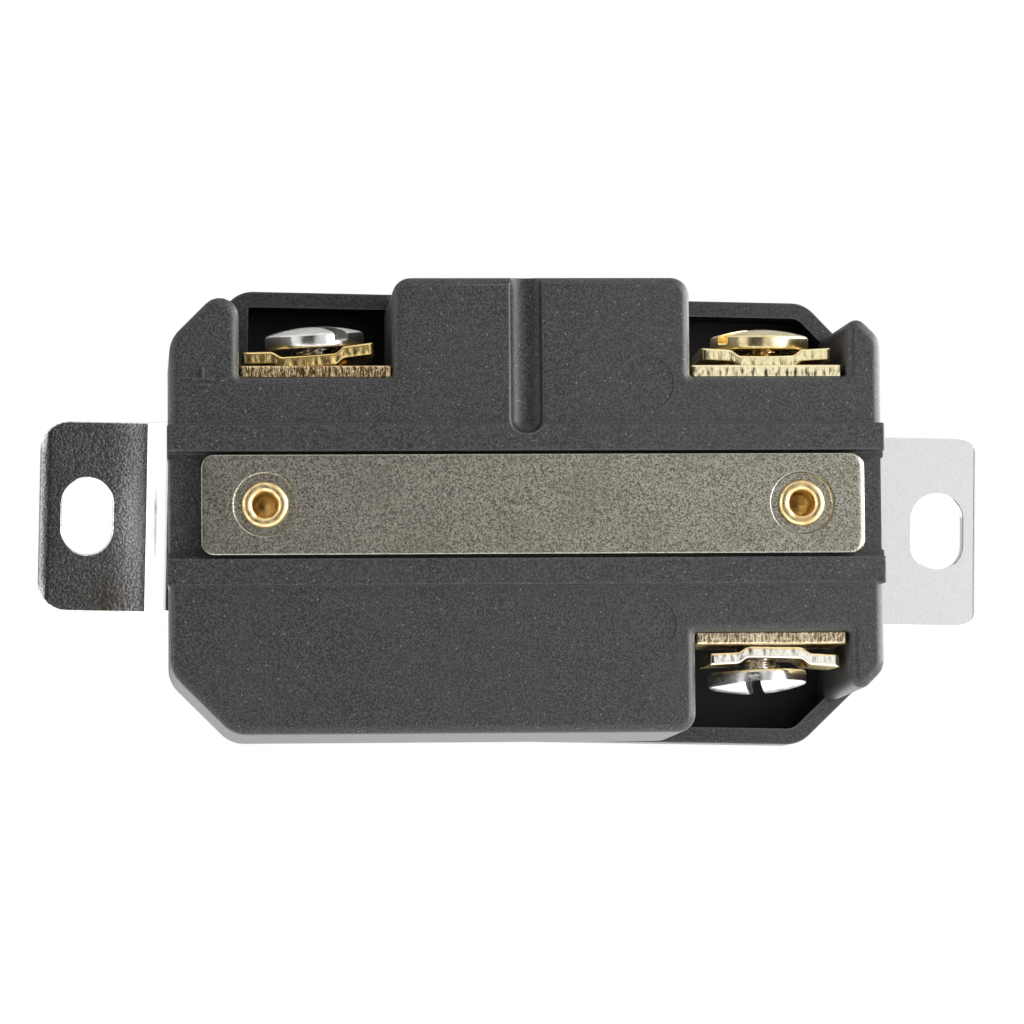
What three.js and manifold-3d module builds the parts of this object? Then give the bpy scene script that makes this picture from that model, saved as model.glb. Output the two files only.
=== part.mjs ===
// Strap-mounted locking power receptacle (two pole, three wire, 30 A size), wired from its back and sides.
//
// Millimetres. +X runs along the mounting strap, +Y out of the face towards the plug, +Z up.
// The origin is the centre of the mating face, so everything else lies at negative Y.
// From front to back: face cover, steel mounting strap, front housing, rear housing, nickel-plated tie bar.
// Two semi-tubular brass rivets hold the stack together. Three brass contacts reach from the blade circle
// to terminal plates in side pockets, each with a clamp plate and a terminal screw. The rear housing, with
// the tie bar and the terminals, was riveted on a little askew behind the square front.

import * as THREE from 'three';
import { mergeVertices } from 'three/addons/utils/BufferGeometryUtils.js';
import Module from 'manifold-3d';

const wasm = await Module();
wasm.setup();

// ---------- driving dimensions ----------

const RAD = Math.PI / 180;
const FIT = 0.05; // clearance between faces that rest on each other
const FAR = 60; // reach of a cutting tool that has to pass right through

// Depth stations along Y, measured back from the mating face.
const depth = {
  face: 0,
  faceUnderside: -3,
  flangeFront: -6.7,
  earFront: -6.7,
  earRear: -8,
  flangeRear: -8.6,
  strapFront: -8.7,
  strapRear: -10,
  housingFront: -10.1,
  trayFloor: -11.7,
  parting: -16.6,
  cavityEnd: -34.2,
  channelFloor: -35.9,
  back: -37,
  ribTop: -37.35,
  barBack: -37.5,
};

// Housing outline at the parting line: an octagon with rounded corners.
const body = {
  halfX: 33.1,
  halfZ: 21.3,
  chamfer: 5.9,
  corner: 3,
  draft: 0.35,
  edge: 0.8,
  wall: 1.8,
};
const tray = { wall: 1.5, bossRadius: 4, stopX: [-15.2, -10.5] };

// How the rear stack sits behind the front: turned about Y and shifted along X and Z.
const askew = { turn: -1.3, x: -0.6, z: -0.2 };

const strap = {
  halfLength: 46.3,
  halfWidth: 9.25,
  cornerRadius: 2.8,
  bendX: 35.7, // where the ear's flat ends
  bendRun: 2, // length of the sloping step
  wideHalfX: 31,
  wideHalfZ: 19.5,
  wideChamfer: 6.2,
  windowRadius: 17.2,
};
const slot = { x: 41.67, width: 4.95, length: 7.4 }; // mounting slots, 83.34 mm apart for No. 6 screws

const boss = { radius: 20.2, edge: 0.8, wall: 1.8 };
const blade = { circle: 13, slotWidth: 2.4, slotSpan: 48 * RAD, hookWidth: 2.6, hookDepth: 1.7 };

const bar = { halfX: 30.5, halfZ: 4.62, corner: 1.2, edge: 0.2, x: 0.6 };
const rib = { inner: 4.9, outer: 7.4, wrap: 0.25, edge: 0.25 };
const groove = { halfWidth: 1.35, depth: 1.1, endZ: 6.5, foot: 0.9, lip: 0.2 };

const rivet = {
  spacing: 49.3,
  shank: 1.95,
  head: 2.75,
  headHeight: 1,
  bore: 1.15,
  boreDepth: 3.6,
  roll: 2.15,
  rollHeight: 0.6,
  hole: 2.05,
  housingHole: 2.2,
  recess: 2.95,
  recessDepth: 0.5,
};
const rivetX = [bar.x - rivet.spacing / 2, bar.x + rivet.spacing / 2];

// Terminal stack, measured out from the device's centre plane (Z) at each side pocket.
const plate = {
  inner: 11.85,
  thickness: 1.05,
  halfX: 7,
  back: -36.1,
  web: -25.2,
  hole: 2.6,
  shelfHole: 3.3, // clearance for the screw's tip through the pocket's shelf
};

// Corners of the webs that lead from the plates to the clips, in a terminal's own frame.
const groundWeb = { far: 10.9, step: -0.55, foot: 8, rise: 9.6, low: -4.6, knee: [1.8, -2] };
const poleWeb = { near: -10.4, far: -20.8, high: 15.6, low: 6.8, rise: 8.2 };

// A web's way through the pocket's shelf and side wall, and the tongue that closes it afterwards.
const opening = { left: 7.2, right: 7.05, side: 8, margin: 0.2, tongueGap: 0.12 };

const clamp = {
  halfX: 6.1,
  halfY: 4.3,
  thickness: 1.05,
  flatHalf: 2.5,
  stepRun: 0.8,
  lift: 0.55,
  tipLift: 0.7,
  holeWidth: 5.4, // across the strip; the hole is longer along it, so the clamp can shift on its screw
  holeLength: 7.4,
  corner: 0.4,
};
const screw = {
  y: -29,
  head: 4.6,
  headHeight: 2.05,
  rimHeight: 1.4,
  shank: 2.25,
  length: 8.5,
  slotWidth: 1.4,
  slotDepth: 1.5,
};
const plateOuter = plate.inner + plate.thickness;
const pocketFloor = plate.inner - FIT;

// x is the terminal plate's centre, and its threaded hole stands off that by holeShift. A loose terminal
// sits askew: lean tips its screw sideways and tilt tips it towards the wiring side, while its clamp leans
// by clampLean and has slid from the hole by clampShift. seat is the clamp's height over the plate, and
// backedOut the gap between clamp and head.
const terminals = [
  {
    name: 'ground',
    side: 1,
    x: -19.35,
    holeShift: 0.2,
    pocket: [-26.4, -12.3],
    lean: 3.1 * RAD,
    tilt: 5 * RAD,
    clampLean: 4.3 * RAD,
    clampShift: -0.7,
    seat: 0.3,
    backedOut: 0.25,
    slotTurn: 121.5 * RAD,
  },
  {
    name: 'hot',
    side: 1,
    x: 22.25,
    holeShift: 0.15,
    pocket: [15.1, 29.6],
    lean: 0,
    tilt: 3 * RAD,
    clampLean: 0,
    clampShift: 0.2,
    seat: 0.12,
    backedOut: 0.06,
    slotTurn: 35.6 * RAD,
  },
  {
    name: 'neutral',
    side: -1,
    x: 22.4,
    holeShift: -0.7,
    pocket: [15.3, 29.6],
    lean: 2.4 * RAD,
    tilt: 2 * RAD,
    clampLean: -1 * RAD,
    clampShift: 1.35,
    seat: 0.15,
    backedOut: 0.42,
    slotTurn: 96 * RAD,
  },
];

const clip = {
  width: 9,
  thickness: 0.8,
  base: -24.1,
  mouth: -9.3,
  pinch: -13,
  baseHalf: 2.2,
  pinchHalf: 0.75,
  mouthHalf: 2.1,
  window: [7, 8, 10.2], // clearance through the front housing: across, in depth, along the circle
};
const clipAngle = { ground: 180 * RAD, hot: 60 * RAD, neutral: -60 * RAD };
const pin = { shank: 1.2, head: 1.6, headHeight: 0.6, hole: 1.3 };
const link = {
  x: -18.8,
  zLow: 4.9,
  zHigh: 9.1,
  thickness: 0.8,
  footX: -25,
  rivetX: -22.3,
  rivetZ: 7,
  clearance: 0.3,
};

// ---------- materials ----------

function finish(color, roughness, metalness) {
  return new THREE.MeshStandardMaterial({ color, roughness, metalness });
}

const nylon = finish(0x3a3b3c, 0.62, 0);
const zincSteel = finish(0xb9bcc0, 0.32, 1);
const nickelSteel = finish(0x8f8d85, 0.45, 1);
const brass = finish(0xc9a25a, 0.35, 1);
const brassScrew = finish(0xd8c07a, 0.22, 1);
const nickelScrew = finish(0xc6c9cc, 0.2, 1);

// ---------- solids ----------

// A closed three.js geometry as a manifold-3d solid.
function solid(geometry) {
  const bare = geometry.index ? geometry.toNonIndexed() : geometry.clone();
  bare.deleteAttribute('normal');
  bare.deleteAttribute('uv');
  const merged = mergeVertices(bare, 1e-4);
  const vertProperties = new Float32Array(merged.attributes.position.array);
  const triVerts = new Uint32Array(merged.index.array);
  return new wasm.Manifold(new wasm.Mesh({ numProp: 3, vertProperties, triVerts }));
}

// A manifold-3d solid as a three.js geometry with flat shading.
function geometryOf(made) {
  const mesh = made.getMesh();
  const position = new Float32Array(mesh.numVert * 3);
  for (let i = 0; i < mesh.numVert; i += 1) {
    position.set(mesh.vertProperties.subarray(i * mesh.numProp, i * mesh.numProp + 3), i * 3);
  }
  const indexed = new THREE.BufferGeometry();
  indexed.setAttribute('position', new THREE.BufferAttribute(position, 3));
  indexed.setIndex(new THREE.BufferAttribute(new Uint32Array(mesh.triVerts), 1));
  const geometry = indexed.toNonIndexed();
  geometry.computeVertexNormals();
  return geometry;
}

const join = (...solids) => solids.reduce((all, one) => all.add(one));
const cut = (from, ...tools) => tools.reduce((left, tool) => left.subtract(tool), from);

// Sets a solid where the rear stack has it.
const toRear = (made) => made.rotate([0, askew.turn, 0]).translate([askew.x, 0, askew.z]);

// An outline in X and Z, extruded along Y between two depths. Options are those of ExtrudeGeometry.
function alongY(outline, yA, yB, options = {}) {
  const top = Math.max(yA, yB);
  const bevel = options.bevelEnabled ? options.bevelThickness : 0;
  const geometry = new THREE.ExtrudeGeometry(outline, {
    depth: Math.abs(yA - yB) - 2 * bevel,
    bevelEnabled: false,
    curveSegments: 2,
    ...options,
  });
  geometry.rotateX(Math.PI / 2);
  geometry.translate(0, top - bevel, 0);
  return geometry;
}

// An outline in X and Y, extruded along Z between two heights.
function alongZ(outline, zA, zB, options = {}) {
  const geometry = new THREE.ExtrudeGeometry(outline, {
    depth: Math.abs(zA - zB),
    bevelEnabled: false,
    curveSegments: 2,
    ...options,
  });
  geometry.translate(0, 0, Math.min(zA, zB));
  return geometry;
}

function block([x0, x1], [y0, y1], [z0, z1]) {
  const geometry = new THREE.BoxGeometry(Math.abs(x1 - x0), Math.abs(y1 - y0), Math.abs(z1 - z0));
  geometry.translate((x0 + x1) / 2, (y0 + y1) / 2, (z0 + z1) / 2);
  return solid(geometry);
}

function rodAlongY(radius, x, z, yA, yB, segments = 16) {
  const geometry = new THREE.CylinderGeometry(radius, radius, Math.abs(yA - yB), segments);
  geometry.translate(x, (yA + yB) / 2, z);
  return solid(geometry);
}

function rodAlongZ(radius, x, y, zA, zB, segments = 16) {
  const geometry = new THREE.CylinderGeometry(radius, radius, Math.abs(zA - zB), segments);
  geometry.rotateX(Math.PI / 2);
  geometry.translate(x, y, (zA + zB) / 2);
  return solid(geometry);
}

// A profile of radius and height, turned about Y. Its heights rise from one point to the next.
function turned(profile, segments) {
  return new THREE.LatheGeometry(profile.map(([r, y]) => new THREE.Vector2(r, y)), segments);
}

// A bevel that rounds an extrusion's two ends without growing its outline.
const roundedEnds = (radius, segments = 3) => ({
  bevelEnabled: true,
  bevelThickness: radius,
  bevelSize: radius,
  bevelOffset: -radius,
  bevelSegments: segments,
});

// ---------- outlines ----------

// A closed outline through corner points, each rounded by its own radius.
function roundedOutline(points) {
  const shape = new THREE.Shape();
  const count = points.length;
  points.forEach(([x, y, radius], i) => {
    const here = new THREE.Vector2(x, y);
    const corner = (j) => new THREE.Vector2(...points[(j + count) % count].slice(0, 2));
    const towards = (j) => corner(j).sub(here).normalize();
    const before = towards(i - 1);
    const after = towards(i + 1);
    if (radius) {
      const half = before.angleTo(after) / 2;
      const reach = radius / Math.tan(half);
      const start = here.clone().addScaledVector(before, reach);
      const end = here.clone().addScaledVector(after, reach);
      const inward = before.clone().add(after).normalize();
      const centre = here.clone().addScaledVector(inward, radius / Math.sin(half));
      const clockwise = before.cross(after) > 0;
      const angle = (p) => Math.atan2(p.y - centre.y, p.x - centre.x);
      if (i === 0) shape.moveTo(start.x, start.y);
      else shape.lineTo(start.x, start.y);
      shape.absarc(centre.x, centre.y, radius, angle(start), angle(end), clockwise);
    } else if (i === 0) shape.moveTo(x, y);
    else shape.lineTo(x, y);
  });
  shape.closePath();
  return shape;
}

function octagon(halfX, halfZ, chamfer, corner) {
  return roundedOutline([
    [halfX, -halfZ + chamfer, corner],
    [halfX, halfZ - chamfer, corner],
    [halfX - chamfer, halfZ, corner],
    [-halfX + chamfer, halfZ, corner],
    [-halfX, halfZ - chamfer, corner],
    [-halfX, -halfZ + chamfer, corner],
    [-halfX + chamfer, -halfZ, corner],
    [halfX - chamfer, -halfZ, corner],
  ]);
}

// The housing outline pulled in by some distance all round.
function housingOutline(inset) {
  const chamfer = body.chamfer - inset * (2 - Math.SQRT2);
  return octagon(body.halfX - inset, body.halfZ - inset, chamfer, Math.max(body.corner - inset, 0.5));
}

function roundedRectangle(halfA, halfB, radius) {
  return roundedOutline([
    [halfA, -halfB, radius],
    [halfA, halfB, radius],
    [-halfA, halfB, radius],
    [-halfA, -halfB, radius],
  ]);
}

// An oval slot with its length along the outline's second axis.
function oval(x, z, width, length) {
  const radius = width / 2;
  const reach = (length - width) / 2;
  const path = new THREE.Path();
  path.absarc(x, z + reach, radius, 0, Math.PI, false);
  path.absarc(x, z - reach, radius, Math.PI, 2 * Math.PI, false);
  path.closePath();
  return path;
}

// ---------- terminal pockets, shared by both housings ----------

// A pocket as a box, grown by some wall thickness towards its neighbours and towards the centre.
function pocketBox(terminal, yRange, wall = 0) {
  const [x0, x1] = terminal.pocket;
  const zNear = terminal.side * (pocketFloor - wall);
  const zFar = terminal.side * FAR;
  return block([x0 - wall, x1 + wall], yRange, [zNear, zFar]);
}

// The contact's web crosses the wall between its pocket and the cavity. The opening runs to the parting line,
// so that the contact drops in from the front.
function webOpening(terminal, yRange, gap) {
  const { side, x, pocket } = terminal;
  const { left, right, margin } = opening;
  const z = [side * (pocketFloor - body.wall - margin + gap), side * (plate.inner - gap)];
  if (terminal.name === 'ground') return [block([x - left + gap, x + right - gap], yRange, z)];
  const sideWall = [pocket[0] - body.wall - margin + gap, pocket[0] + margin / 10 - gap];
  return [
    block([sideWall[0], x + left - gap], yRange, z),
    block(sideWall, yRange, [side * (opening.side + gap), side * (plateOuter + margin - gap)]),
  ];
}

// Holes through the front pieces for the two tie rivets, which stand where the rear stack has them.
const rivetHoles = (radius) => rivetX.map((x) => toRear(rodAlongY(radius, x, 0, FAR, -FAR)));

// ---------- plastic parts ----------

function rearHousing() {
  const { parting, back, cavityEnd, channelFloor, ribTop } = depth;

  // Outer shell, rounded at the back and tapered by the mould draft.
  const shell = alongY(housingOutline(0), parting + 5, back, roundedEnds(body.edge));
  const position = shell.attributes.position;
  for (let i = 0; i < position.count; i += 1) {
    const share = THREE.MathUtils.clamp((parting - position.getY(i)) / (parting - back), 0, 1);
    position.setX(i, position.getX(i) * (1 - (share * body.draft) / body.halfX));
    position.setZ(i, position.getZ(i) * (1 - (share * body.draft) / body.halfZ));
  }
  let made = solid(shell).trimByPlane([0, -1, 0], -parting);

  // Two ribs frame the tie bar's channel and wrap a little over both ends.
  const ribHalfX = body.halfX - body.draft + rib.wrap;
  for (const side of [-1, 1]) {
    const middle = (side * (rib.inner + rib.outer)) / 2;
    const outline = roundedRectangle(ribHalfX, (rib.outer - rib.inner) / 2, 0);
    const ribSolid = alongY(outline, ribTop, parting, roundedEnds(rib.edge, 1));
    ribSolid.translate(0, 0, middle);
    made = made.add(solid(ribSolid).trimByPlane([0, -1, 0], -(parting - 4)));
  }
  made = made.subtract(block([-FAR, FAR], [channelFloor, -FAR], [-rib.inner, rib.inner]));

  // Pockets, open to the back and the side, then the hollow inside.
  const pockets = terminals.map((terminal) => pocketBox(terminal, [-FAR, FAR]));
  const hollow = cut(
    solid(alongY(housingOutline(body.wall), parting + 1, cavityEnd)),
    ...terminals.map((terminal) => pocketBox(terminal, [-FAR, FAR], body.wall)),
    ...rivetX.map((x) => rodAlongY(tray.bossRadius, x, 0, FAR, -FAR)),
  );
  made = cut(made, ...pockets, hollow);

  // Contact openings, screw clearance holes, rivet holes and the half-round groove over the top edge.
  for (const terminal of terminals) {
    made = cut(made, ...webOpening(terminal, [plate.web - 0.3, parting + 1], 0));
    const z = [terminal.side * (pocketFloor - body.wall - 1), terminal.side * (pocketFloor + 1)];
    made = made.subtract(rodAlongZ(plate.shelfHole, terminal.x + terminal.holeShift, screw.y, z[0], z[1]));
  }
  for (const x of rivetX) made = made.subtract(rodAlongY(rivet.housingHole, x, 0, FAR, -FAR));
  const vee = roundedOutline([
    [-groove.halfWidth, back - 1, 0],
    [-groove.halfWidth, back, groove.lip],
    [0, back + groove.depth * 1.3, groove.foot], // the foot's radius takes the point back to the depth
    [groove.halfWidth, back, groove.lip],
    [groove.halfWidth, back - 1, 0],
  ]);
  return made.subtract(solid(alongZ(vee, groove.endZ, FAR)));
}

function frontHousing() {
  const { housingFront, trayFloor, parting } = depth;
  const outer = solid(alongY(housingOutline(0), housingFront, parting));
  const inside = solid(alongY(housingOutline(tray.wall), trayFloor, parting - 1));

  // Partitions continue the walls round each pocket and the rivet bosses down to the tray's floor.
  const band = [parting, housingFront];
  const partitions = terminals.map((terminal) => {
    return cut(pocketBox(terminal, band, body.wall), pocketBox(terminal, [FAR, -FAR]));
  });
  const groundStop = block(tray.stopX, band, [pocketFloor - body.wall, body.halfZ - 1]);
  const bosses = rivetX.map((x) => rodAlongY(tray.bossRadius, x, 0, housingFront, parting));
  const posts = join(...partitions, groundStop, ...bosses).intersect(outer);
  let made = join(cut(outer, inside), posts);

  // Tongues fill the contact openings in the rear housing, once the contacts are in.
  for (const terminal of terminals) {
    const tongueEnd = plate.web + plate.thickness + opening.margin;
    const [shelf] = webOpening(terminal, [parting + 1, tongueEnd], opening.tongueGap);
    made = made.add(toRear(shelf));
  }

  // Windows for the three contact clips and the ground link, and the rivet holes.
  for (const angle of Object.values(clipAngle)) {
    const window = new THREE.BoxGeometry(...clip.window);
    window.translate(blade.circle, housingFront, 0);
    window.rotateY(-angle);
    made = made.subtract(solid(window));
  }
  const { footX, x: legX, zLow, zHigh, clearance } = link;
  const linkWindow = block(
    [footX - clearance, legX + clearance],
    [housingFront + 1, trayFloor - 1],
    [zLow - clearance, zHigh + clearance],
  );
  return cut(made, linkWindow, ...rivetHoles(rivet.housingHole));
}

// One blade slot: an arc on the blade circle. The ground slot carries a short hook that keys the plug.
function bladeSlot(angle, hooked) {
  const inner = blade.circle - blade.slotWidth / 2;
  const outer = blade.circle + blade.slotWidth / 2;
  const from = angle - blade.slotSpan / 2;
  const to = angle + blade.slotSpan / 2;
  const path = new THREE.Shape();
  path.absarc(0, 0, outer, from, to, false);
  path.absarc(0, 0, inner, to, from, true);
  path.closePath();
  const arcSlot = solid(alongY(path, depth.face + 1, depth.faceUnderside - 1, { curveSegments: 4 }));
  if (!hooked) return arcSlot;
  const hook = new THREE.BoxGeometry(blade.hookDepth + 1, 6, blade.hookWidth);
  hook.translate(inner - blade.hookDepth / 2 + 0.5, (depth.face + depth.faceUnderside) / 2, 0);
  hook.rotateY(-(to - blade.hookWidth / 2 / inner));
  return arcSlot.add(solid(hook));
}

function faceCover() {
  const { face, faceUnderside, flangeFront, flangeRear, strapRear } = depth;
  const bossProfile = [[0, flangeRear], [boss.radius, flangeRear]];
  for (const turn of [0, 30, 60, 90]) {
    const side = boss.radius - boss.edge * (1 - Math.cos(turn * RAD));
    bossProfile.push([side, face - boss.edge * (1 - Math.sin(turn * RAD))]);
  }
  bossProfile.push([0, face]);
  const bossSolid = solid(turned(bossProfile, 48));
  const flange = solid(alongY(housingOutline(0.1), flangeFront, flangeRear));
  const skirt = cut(
    solid(alongY(housingOutline(0.1), flangeRear + 0.5, strapRear - FIT)),
    solid(alongY(housingOutline(1.5), flangeRear, strapRear - 1)),
    block([-FAR, FAR], [flangeRear, strapRear - 1], [-strap.halfWidth - 0.25, strap.halfWidth + 0.25]),
  );
  return cut(
    join(bossSolid, flange, skirt),
    rodAlongY(boss.radius - boss.wall, 0, 0, faceUnderside, flangeRear - 1, 40),
    ...Object.entries(clipAngle).map(([name, angle]) => bladeSlot(angle, name === 'ground')),
    ...rivetHoles(rivet.housingHole),
  );
}

// ---------- steel parts ----------

function mountingStrap() {
  // Side profile: flat ears, a sloping step at each end, and the middle set back behind the face flange.
  const { earFront, earRear, strapFront, strapRear } = depth;
  const { halfLength, bendX, bendRun } = strap;
  const low = bendX - bendRun;
  const bend = 0.9;
  const profile = roundedOutline([
    [halfLength, earRear, 0],
    [halfLength, earFront, 0],
    [bendX + 0.3, earFront, bend],
    [low + 0.3, strapFront, bend],
    [-low - 0.3, strapFront, bend],
    [-bendX - 0.3, earFront, bend],
    [-halfLength, earFront, 0],
    [-halfLength, earRear, 0],
    [-bendX + 0.2, earRear, bend],
    [-low + 0.2, strapRear, bend],
    [low - 0.2, strapRear, bend],
    [bendX - 0.2, earRear, bend],
  ]);
  const formed = solid(alongZ(profile, -25, 25));

  // Plan: narrow ears, a wide middle with a round window for the contacts, mounting slots and rivet holes.
  const { halfWidth, cornerRadius, wideHalfX, wideHalfZ, wideChamfer, windowRadius } = strap;
  const quarter = [
    [wideHalfX - wideChamfer, wideHalfZ, 1],
    [wideHalfX, wideHalfZ - wideChamfer, 1],
    [wideHalfX, halfWidth, 0.8],
    [halfLength, halfWidth, cornerRadius],
  ];
  const mirrored = (sx, sz) => quarter.map(([x, z, radius]) => [sx * x, sz * z, radius]);
  const plan = roundedOutline([
    ...mirrored(1, 1).reverse(),
    ...mirrored(-1, 1),
    ...mirrored(-1, -1).reverse(),
    ...mirrored(1, -1),
  ]);
  plan.holes = [oval(slot.x, 0, slot.width, slot.length), oval(-slot.x, 0, slot.width, slot.length)];
  const blank = solid(alongY(plan, earFront + 1, strapRear - 1, { curveSegments: 4 }));
  return cut(
    formed.intersect(blank),
    rodAlongY(windowRadius, 0, 0, FAR, -FAR, 40),
    rodAlongY(pin.hole, link.rivetX, link.rivetZ, FAR, -FAR),
    ...rivetHoles(rivet.hole),
  );
}

// The bar sits in the rear channel. Each rivet's rolled tail lies in a shallow recess.
function tieBar() {
  const top = depth.channelFloor - FIT;
  const outline = roundedRectangle(bar.halfX, bar.halfZ, bar.corner);
  const blank = solid(alongY(outline, top, depth.barBack, roundedEnds(bar.edge, 1)));
  const tools = [-1, 1].flatMap((end) => {
    const x = (end * rivet.spacing) / 2;
    const floor = depth.barBack + rivet.recessDepth;
    return [rodAlongY(rivet.hole, x, 0, FAR, -FAR), rodAlongY(rivet.recess, x, 0, floor, -FAR, 24)];
  });
  return cut(blank, ...tools);
}

// ---------- brass parts ----------

// A semi-tubular rivet about Y: domed head in front, and a hollow tail rolled over behind.
function tieRivet() {
  const head = depth.flangeFront + FIT;
  const seat = depth.barBack + rivet.recessDepth - FIT;
  const tail = seat - rivet.rollHeight;
  const profile = [
    [0, head + rivet.headHeight],
    [rivet.head * 0.6, head + rivet.headHeight * 0.82],
    [rivet.head * 0.9, head + rivet.headHeight * 0.45],
    [rivet.head, head],
    [rivet.shank, head],
    [rivet.shank, seat],
    [rivet.roll, seat],
    [rivet.roll, tail + 0.25],
    [rivet.roll - 0.25, tail],
    [rivet.bore + 0.35, tail],
    [rivet.bore, tail + 0.35],
    [rivet.bore, tail + rivet.boreDepth],
    [0, tail + rivet.boreDepth + 0.6],
  ];
  return turned(profile.reverse(), 16);
}

// Terminal plate and its web as one bent strip, drawn in the terminal's own frame with +Z out of the pocket.
function terminalPlate(terminal) {
  const { inner, thickness, halfX, back, web, hole } = plate;
  const flat = block([-halfX, halfX], [back, web + thickness], [inner, inner + thickness]);
  const lead = terminal.side;
  const outline = terminal.name === 'ground' ? groundWebOutline() : poleWebOutline(lead);
  const points = outline.map(([x, z]) => new THREE.Vector2(x, z));
  const webSolid = solid(alongY(new THREE.Shape(points), web + thickness, web));
  const [clipX, clipZ] = clipPlace(terminal);
  return cut(
    join(flat, webSolid),
    rodAlongZ(hole, lead * terminal.holeShift, screw.y, inner - 1, inner + thickness + 1),
    rodAlongY(pin.hole, clipX, clipZ, web - 1, web + thickness + 1),
  );
}

// The ground web drops behind the ground clip, and keeps to one side of the rivet's boss.
function groundWebOutline() {
  const { halfX } = plate;
  const { far, step, foot, rise, low, knee } = groundWeb;
  return [
    [halfX, plateOuter],
    [-halfX, plateOuter],
    [-halfX, foot],
    [step, foot],
    [step, knee[1]],
    [knee[0], low],
    [far, low],
    [far, rise],
    [halfX, rise],
  ];
}

// A pole's web runs from its plate across to its clip, mirrored for the lower pole.
function poleWebOutline(lead) {
  const { near, far, high, low, rise } = poleWeb;
  const outline = [
    [plate.halfX, plateOuter],
    [near, plateOuter],
    [near, high],
    [far, high],
    [far, low],
    [near, low],
    [near, rise],
    [plate.halfX, rise],
  ];
  return outline.map(([x, z]) => [lead * x, z]);
}

// Where a terminal's clip stands, in that terminal's own frame. The clips belong to the front, so the rear
// stack's turn and shift are taken back out.
function clipPlace(terminal) {
  const angle = clipAngle[terminal.name];
  const place = new THREE.Vector3(blade.circle * Math.cos(angle), 0, blade.circle * Math.sin(angle));
  place.sub(new THREE.Vector3(askew.x, 0, askew.z));
  place.applyAxisAngle(new THREE.Vector3(0, 1, 0), -askew.turn * RAD);
  return [terminal.side * (place.x - terminal.x), terminal.side * place.z];
}

// A double-leaf spring clip. The profile is in radius and depth, and runs along the blade circle.
function contactClip() {
  const { width, thickness, base, mouth, pinch, baseHalf, pinchHalf, mouthHalf } = clip;
  const outline = new THREE.Shape();
  const inside = [
    [baseHalf, base + thickness],
    [baseHalf, base + 3],
    [pinchHalf, pinch],
    [mouthHalf, mouth],
  ];
  const outside = inside.map(([u, y]) => [u + thickness, y]);
  outside[0] = [baseHalf + thickness, base];
  const right = [...outside, ...inside.slice().reverse()];
  const left = right.slice().reverse().map(([u, y]) => [-u, y]);
  outline.setFromPoints([...right, ...left].map(([u, y]) => new THREE.Vector2(u, y)));
  const strip = solid(alongZ(outline, -width / 2, width / 2));
  return cut(strip, rodAlongY(pin.hole, 0, 0, base - 1, base + thickness + 0.2, 16));
}

// A rivet through a clip's base and its web: a head inside the clip, a head behind the web.
function contactRivet() {
  const front = clip.base + clip.thickness + FIT;
  const rear = plate.web - FIT;
  const profile = [
    [0, front + pin.headHeight],
    [pin.head, front + pin.headHeight - 0.2],
    [pin.head, front],
    [pin.shank, front],
    [pin.shank, rear],
    [pin.head, rear],
    [pin.head, rear - pin.headHeight + 0.2],
    [0, rear - pin.headHeight],
  ];
  return turned(profile.reverse(), 12);
}

// The strip that earths the strap: a leg from the ground web and a foot flat against the strap's back.
function groundLink() {
  const { x, zLow, zHigh, thickness, footX, rivetX: holeX, rivetZ } = link;
  const foot = depth.strapRear - FIT;
  const end = plate.web + plate.thickness + FIT;
  const made = join(
    block([x - thickness, x], [foot, end], [zLow, zHigh]),
    block([footX, x], [foot, foot - thickness], [zLow, zHigh]),
  );
  return cut(made, rodAlongY(pin.hole, holeX, rivetZ, foot + 1, foot - 2, 16));
}

function linkRivet() {
  const rear = depth.strapRear - 2 * FIT - link.thickness;
  const profile = [
    [0, depth.strapFront],
    [pin.shank, depth.strapFront],
    [pin.shank, rear],
    [pin.head + 0.4, rear],
    [pin.head + 0.2, rear - pin.headHeight],
    [0, rear - pin.headHeight],
  ];
  return turned(profile.reverse(), 12);
}

// The clamp is a strip whose two wings are stepped outwards to take a wire on either side of the screw.
function clampPlate() {
  const { halfX, halfY, thickness, flatHalf, stepRun, lift, tipLift } = clamp;
  const { holeWidth, holeLength, corner } = clamp;
  const under = [
    [-halfX, tipLift],
    [-flatHalf - stepRun, lift],
    [-flatHalf, 0],
    [flatHalf, 0],
    [flatHalf + stepRun, lift],
    [halfX, tipLift],
  ];
  const over = under.slice().reverse().map(([x, z]) => [x, z + thickness]);
  const shape = new THREE.Shape([...under, ...over].map(([x, z]) => new THREE.Vector2(x, z)));
  const strip = solid(alongY(shape, -halfY, halfY));
  const plan = roundedRectangle(halfX, halfY, corner);
  plan.holes = [roundedRectangle(holeLength / 2, holeWidth / 2, holeWidth / 2 - 0.2)];
  return strip.intersect(solid(alongZ(plan, -1, 4)));
}

// A binding-head screw about Z with its seat at the origin, a domed head above and a plain shank below.
function terminalScrew(slotTurn) {
  const { head, headHeight, rimHeight, shank, length, slotWidth, slotDepth } = screw;
  const profile = [
    [0, -length],
    [shank - 0.4, -length],
    [shank, -length + 0.5],
    [shank, 0],
    [head - 0.2, 0],
    [head, 0.2],
    [head, rimHeight - 0.15],
  ];
  for (const share of [0.97, 0.7, 0.4, 0]) {
    profile.push([head * share, rimHeight + (headHeight - rimHeight) * (1 - share * share)]);
  }
  const blank = turned(profile, 24);
  blank.rotateX(Math.PI / 2);
  const driver = new THREE.BoxGeometry(2 * head + 1, slotWidth, 2 * slotDepth);
  driver.rotateZ(slotTurn);
  driver.translate(0, 0, headHeight);
  return solid(blank).subtract(solid(driver));
}

// ---------- assembly ----------

function mesh(name, shape, material) {
  const geometry = shape.isBufferGeometry ? shape : geometryOf(shape);
  const made = new THREE.Mesh(geometry, material);
  made.name = name;
  return made;
}

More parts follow.
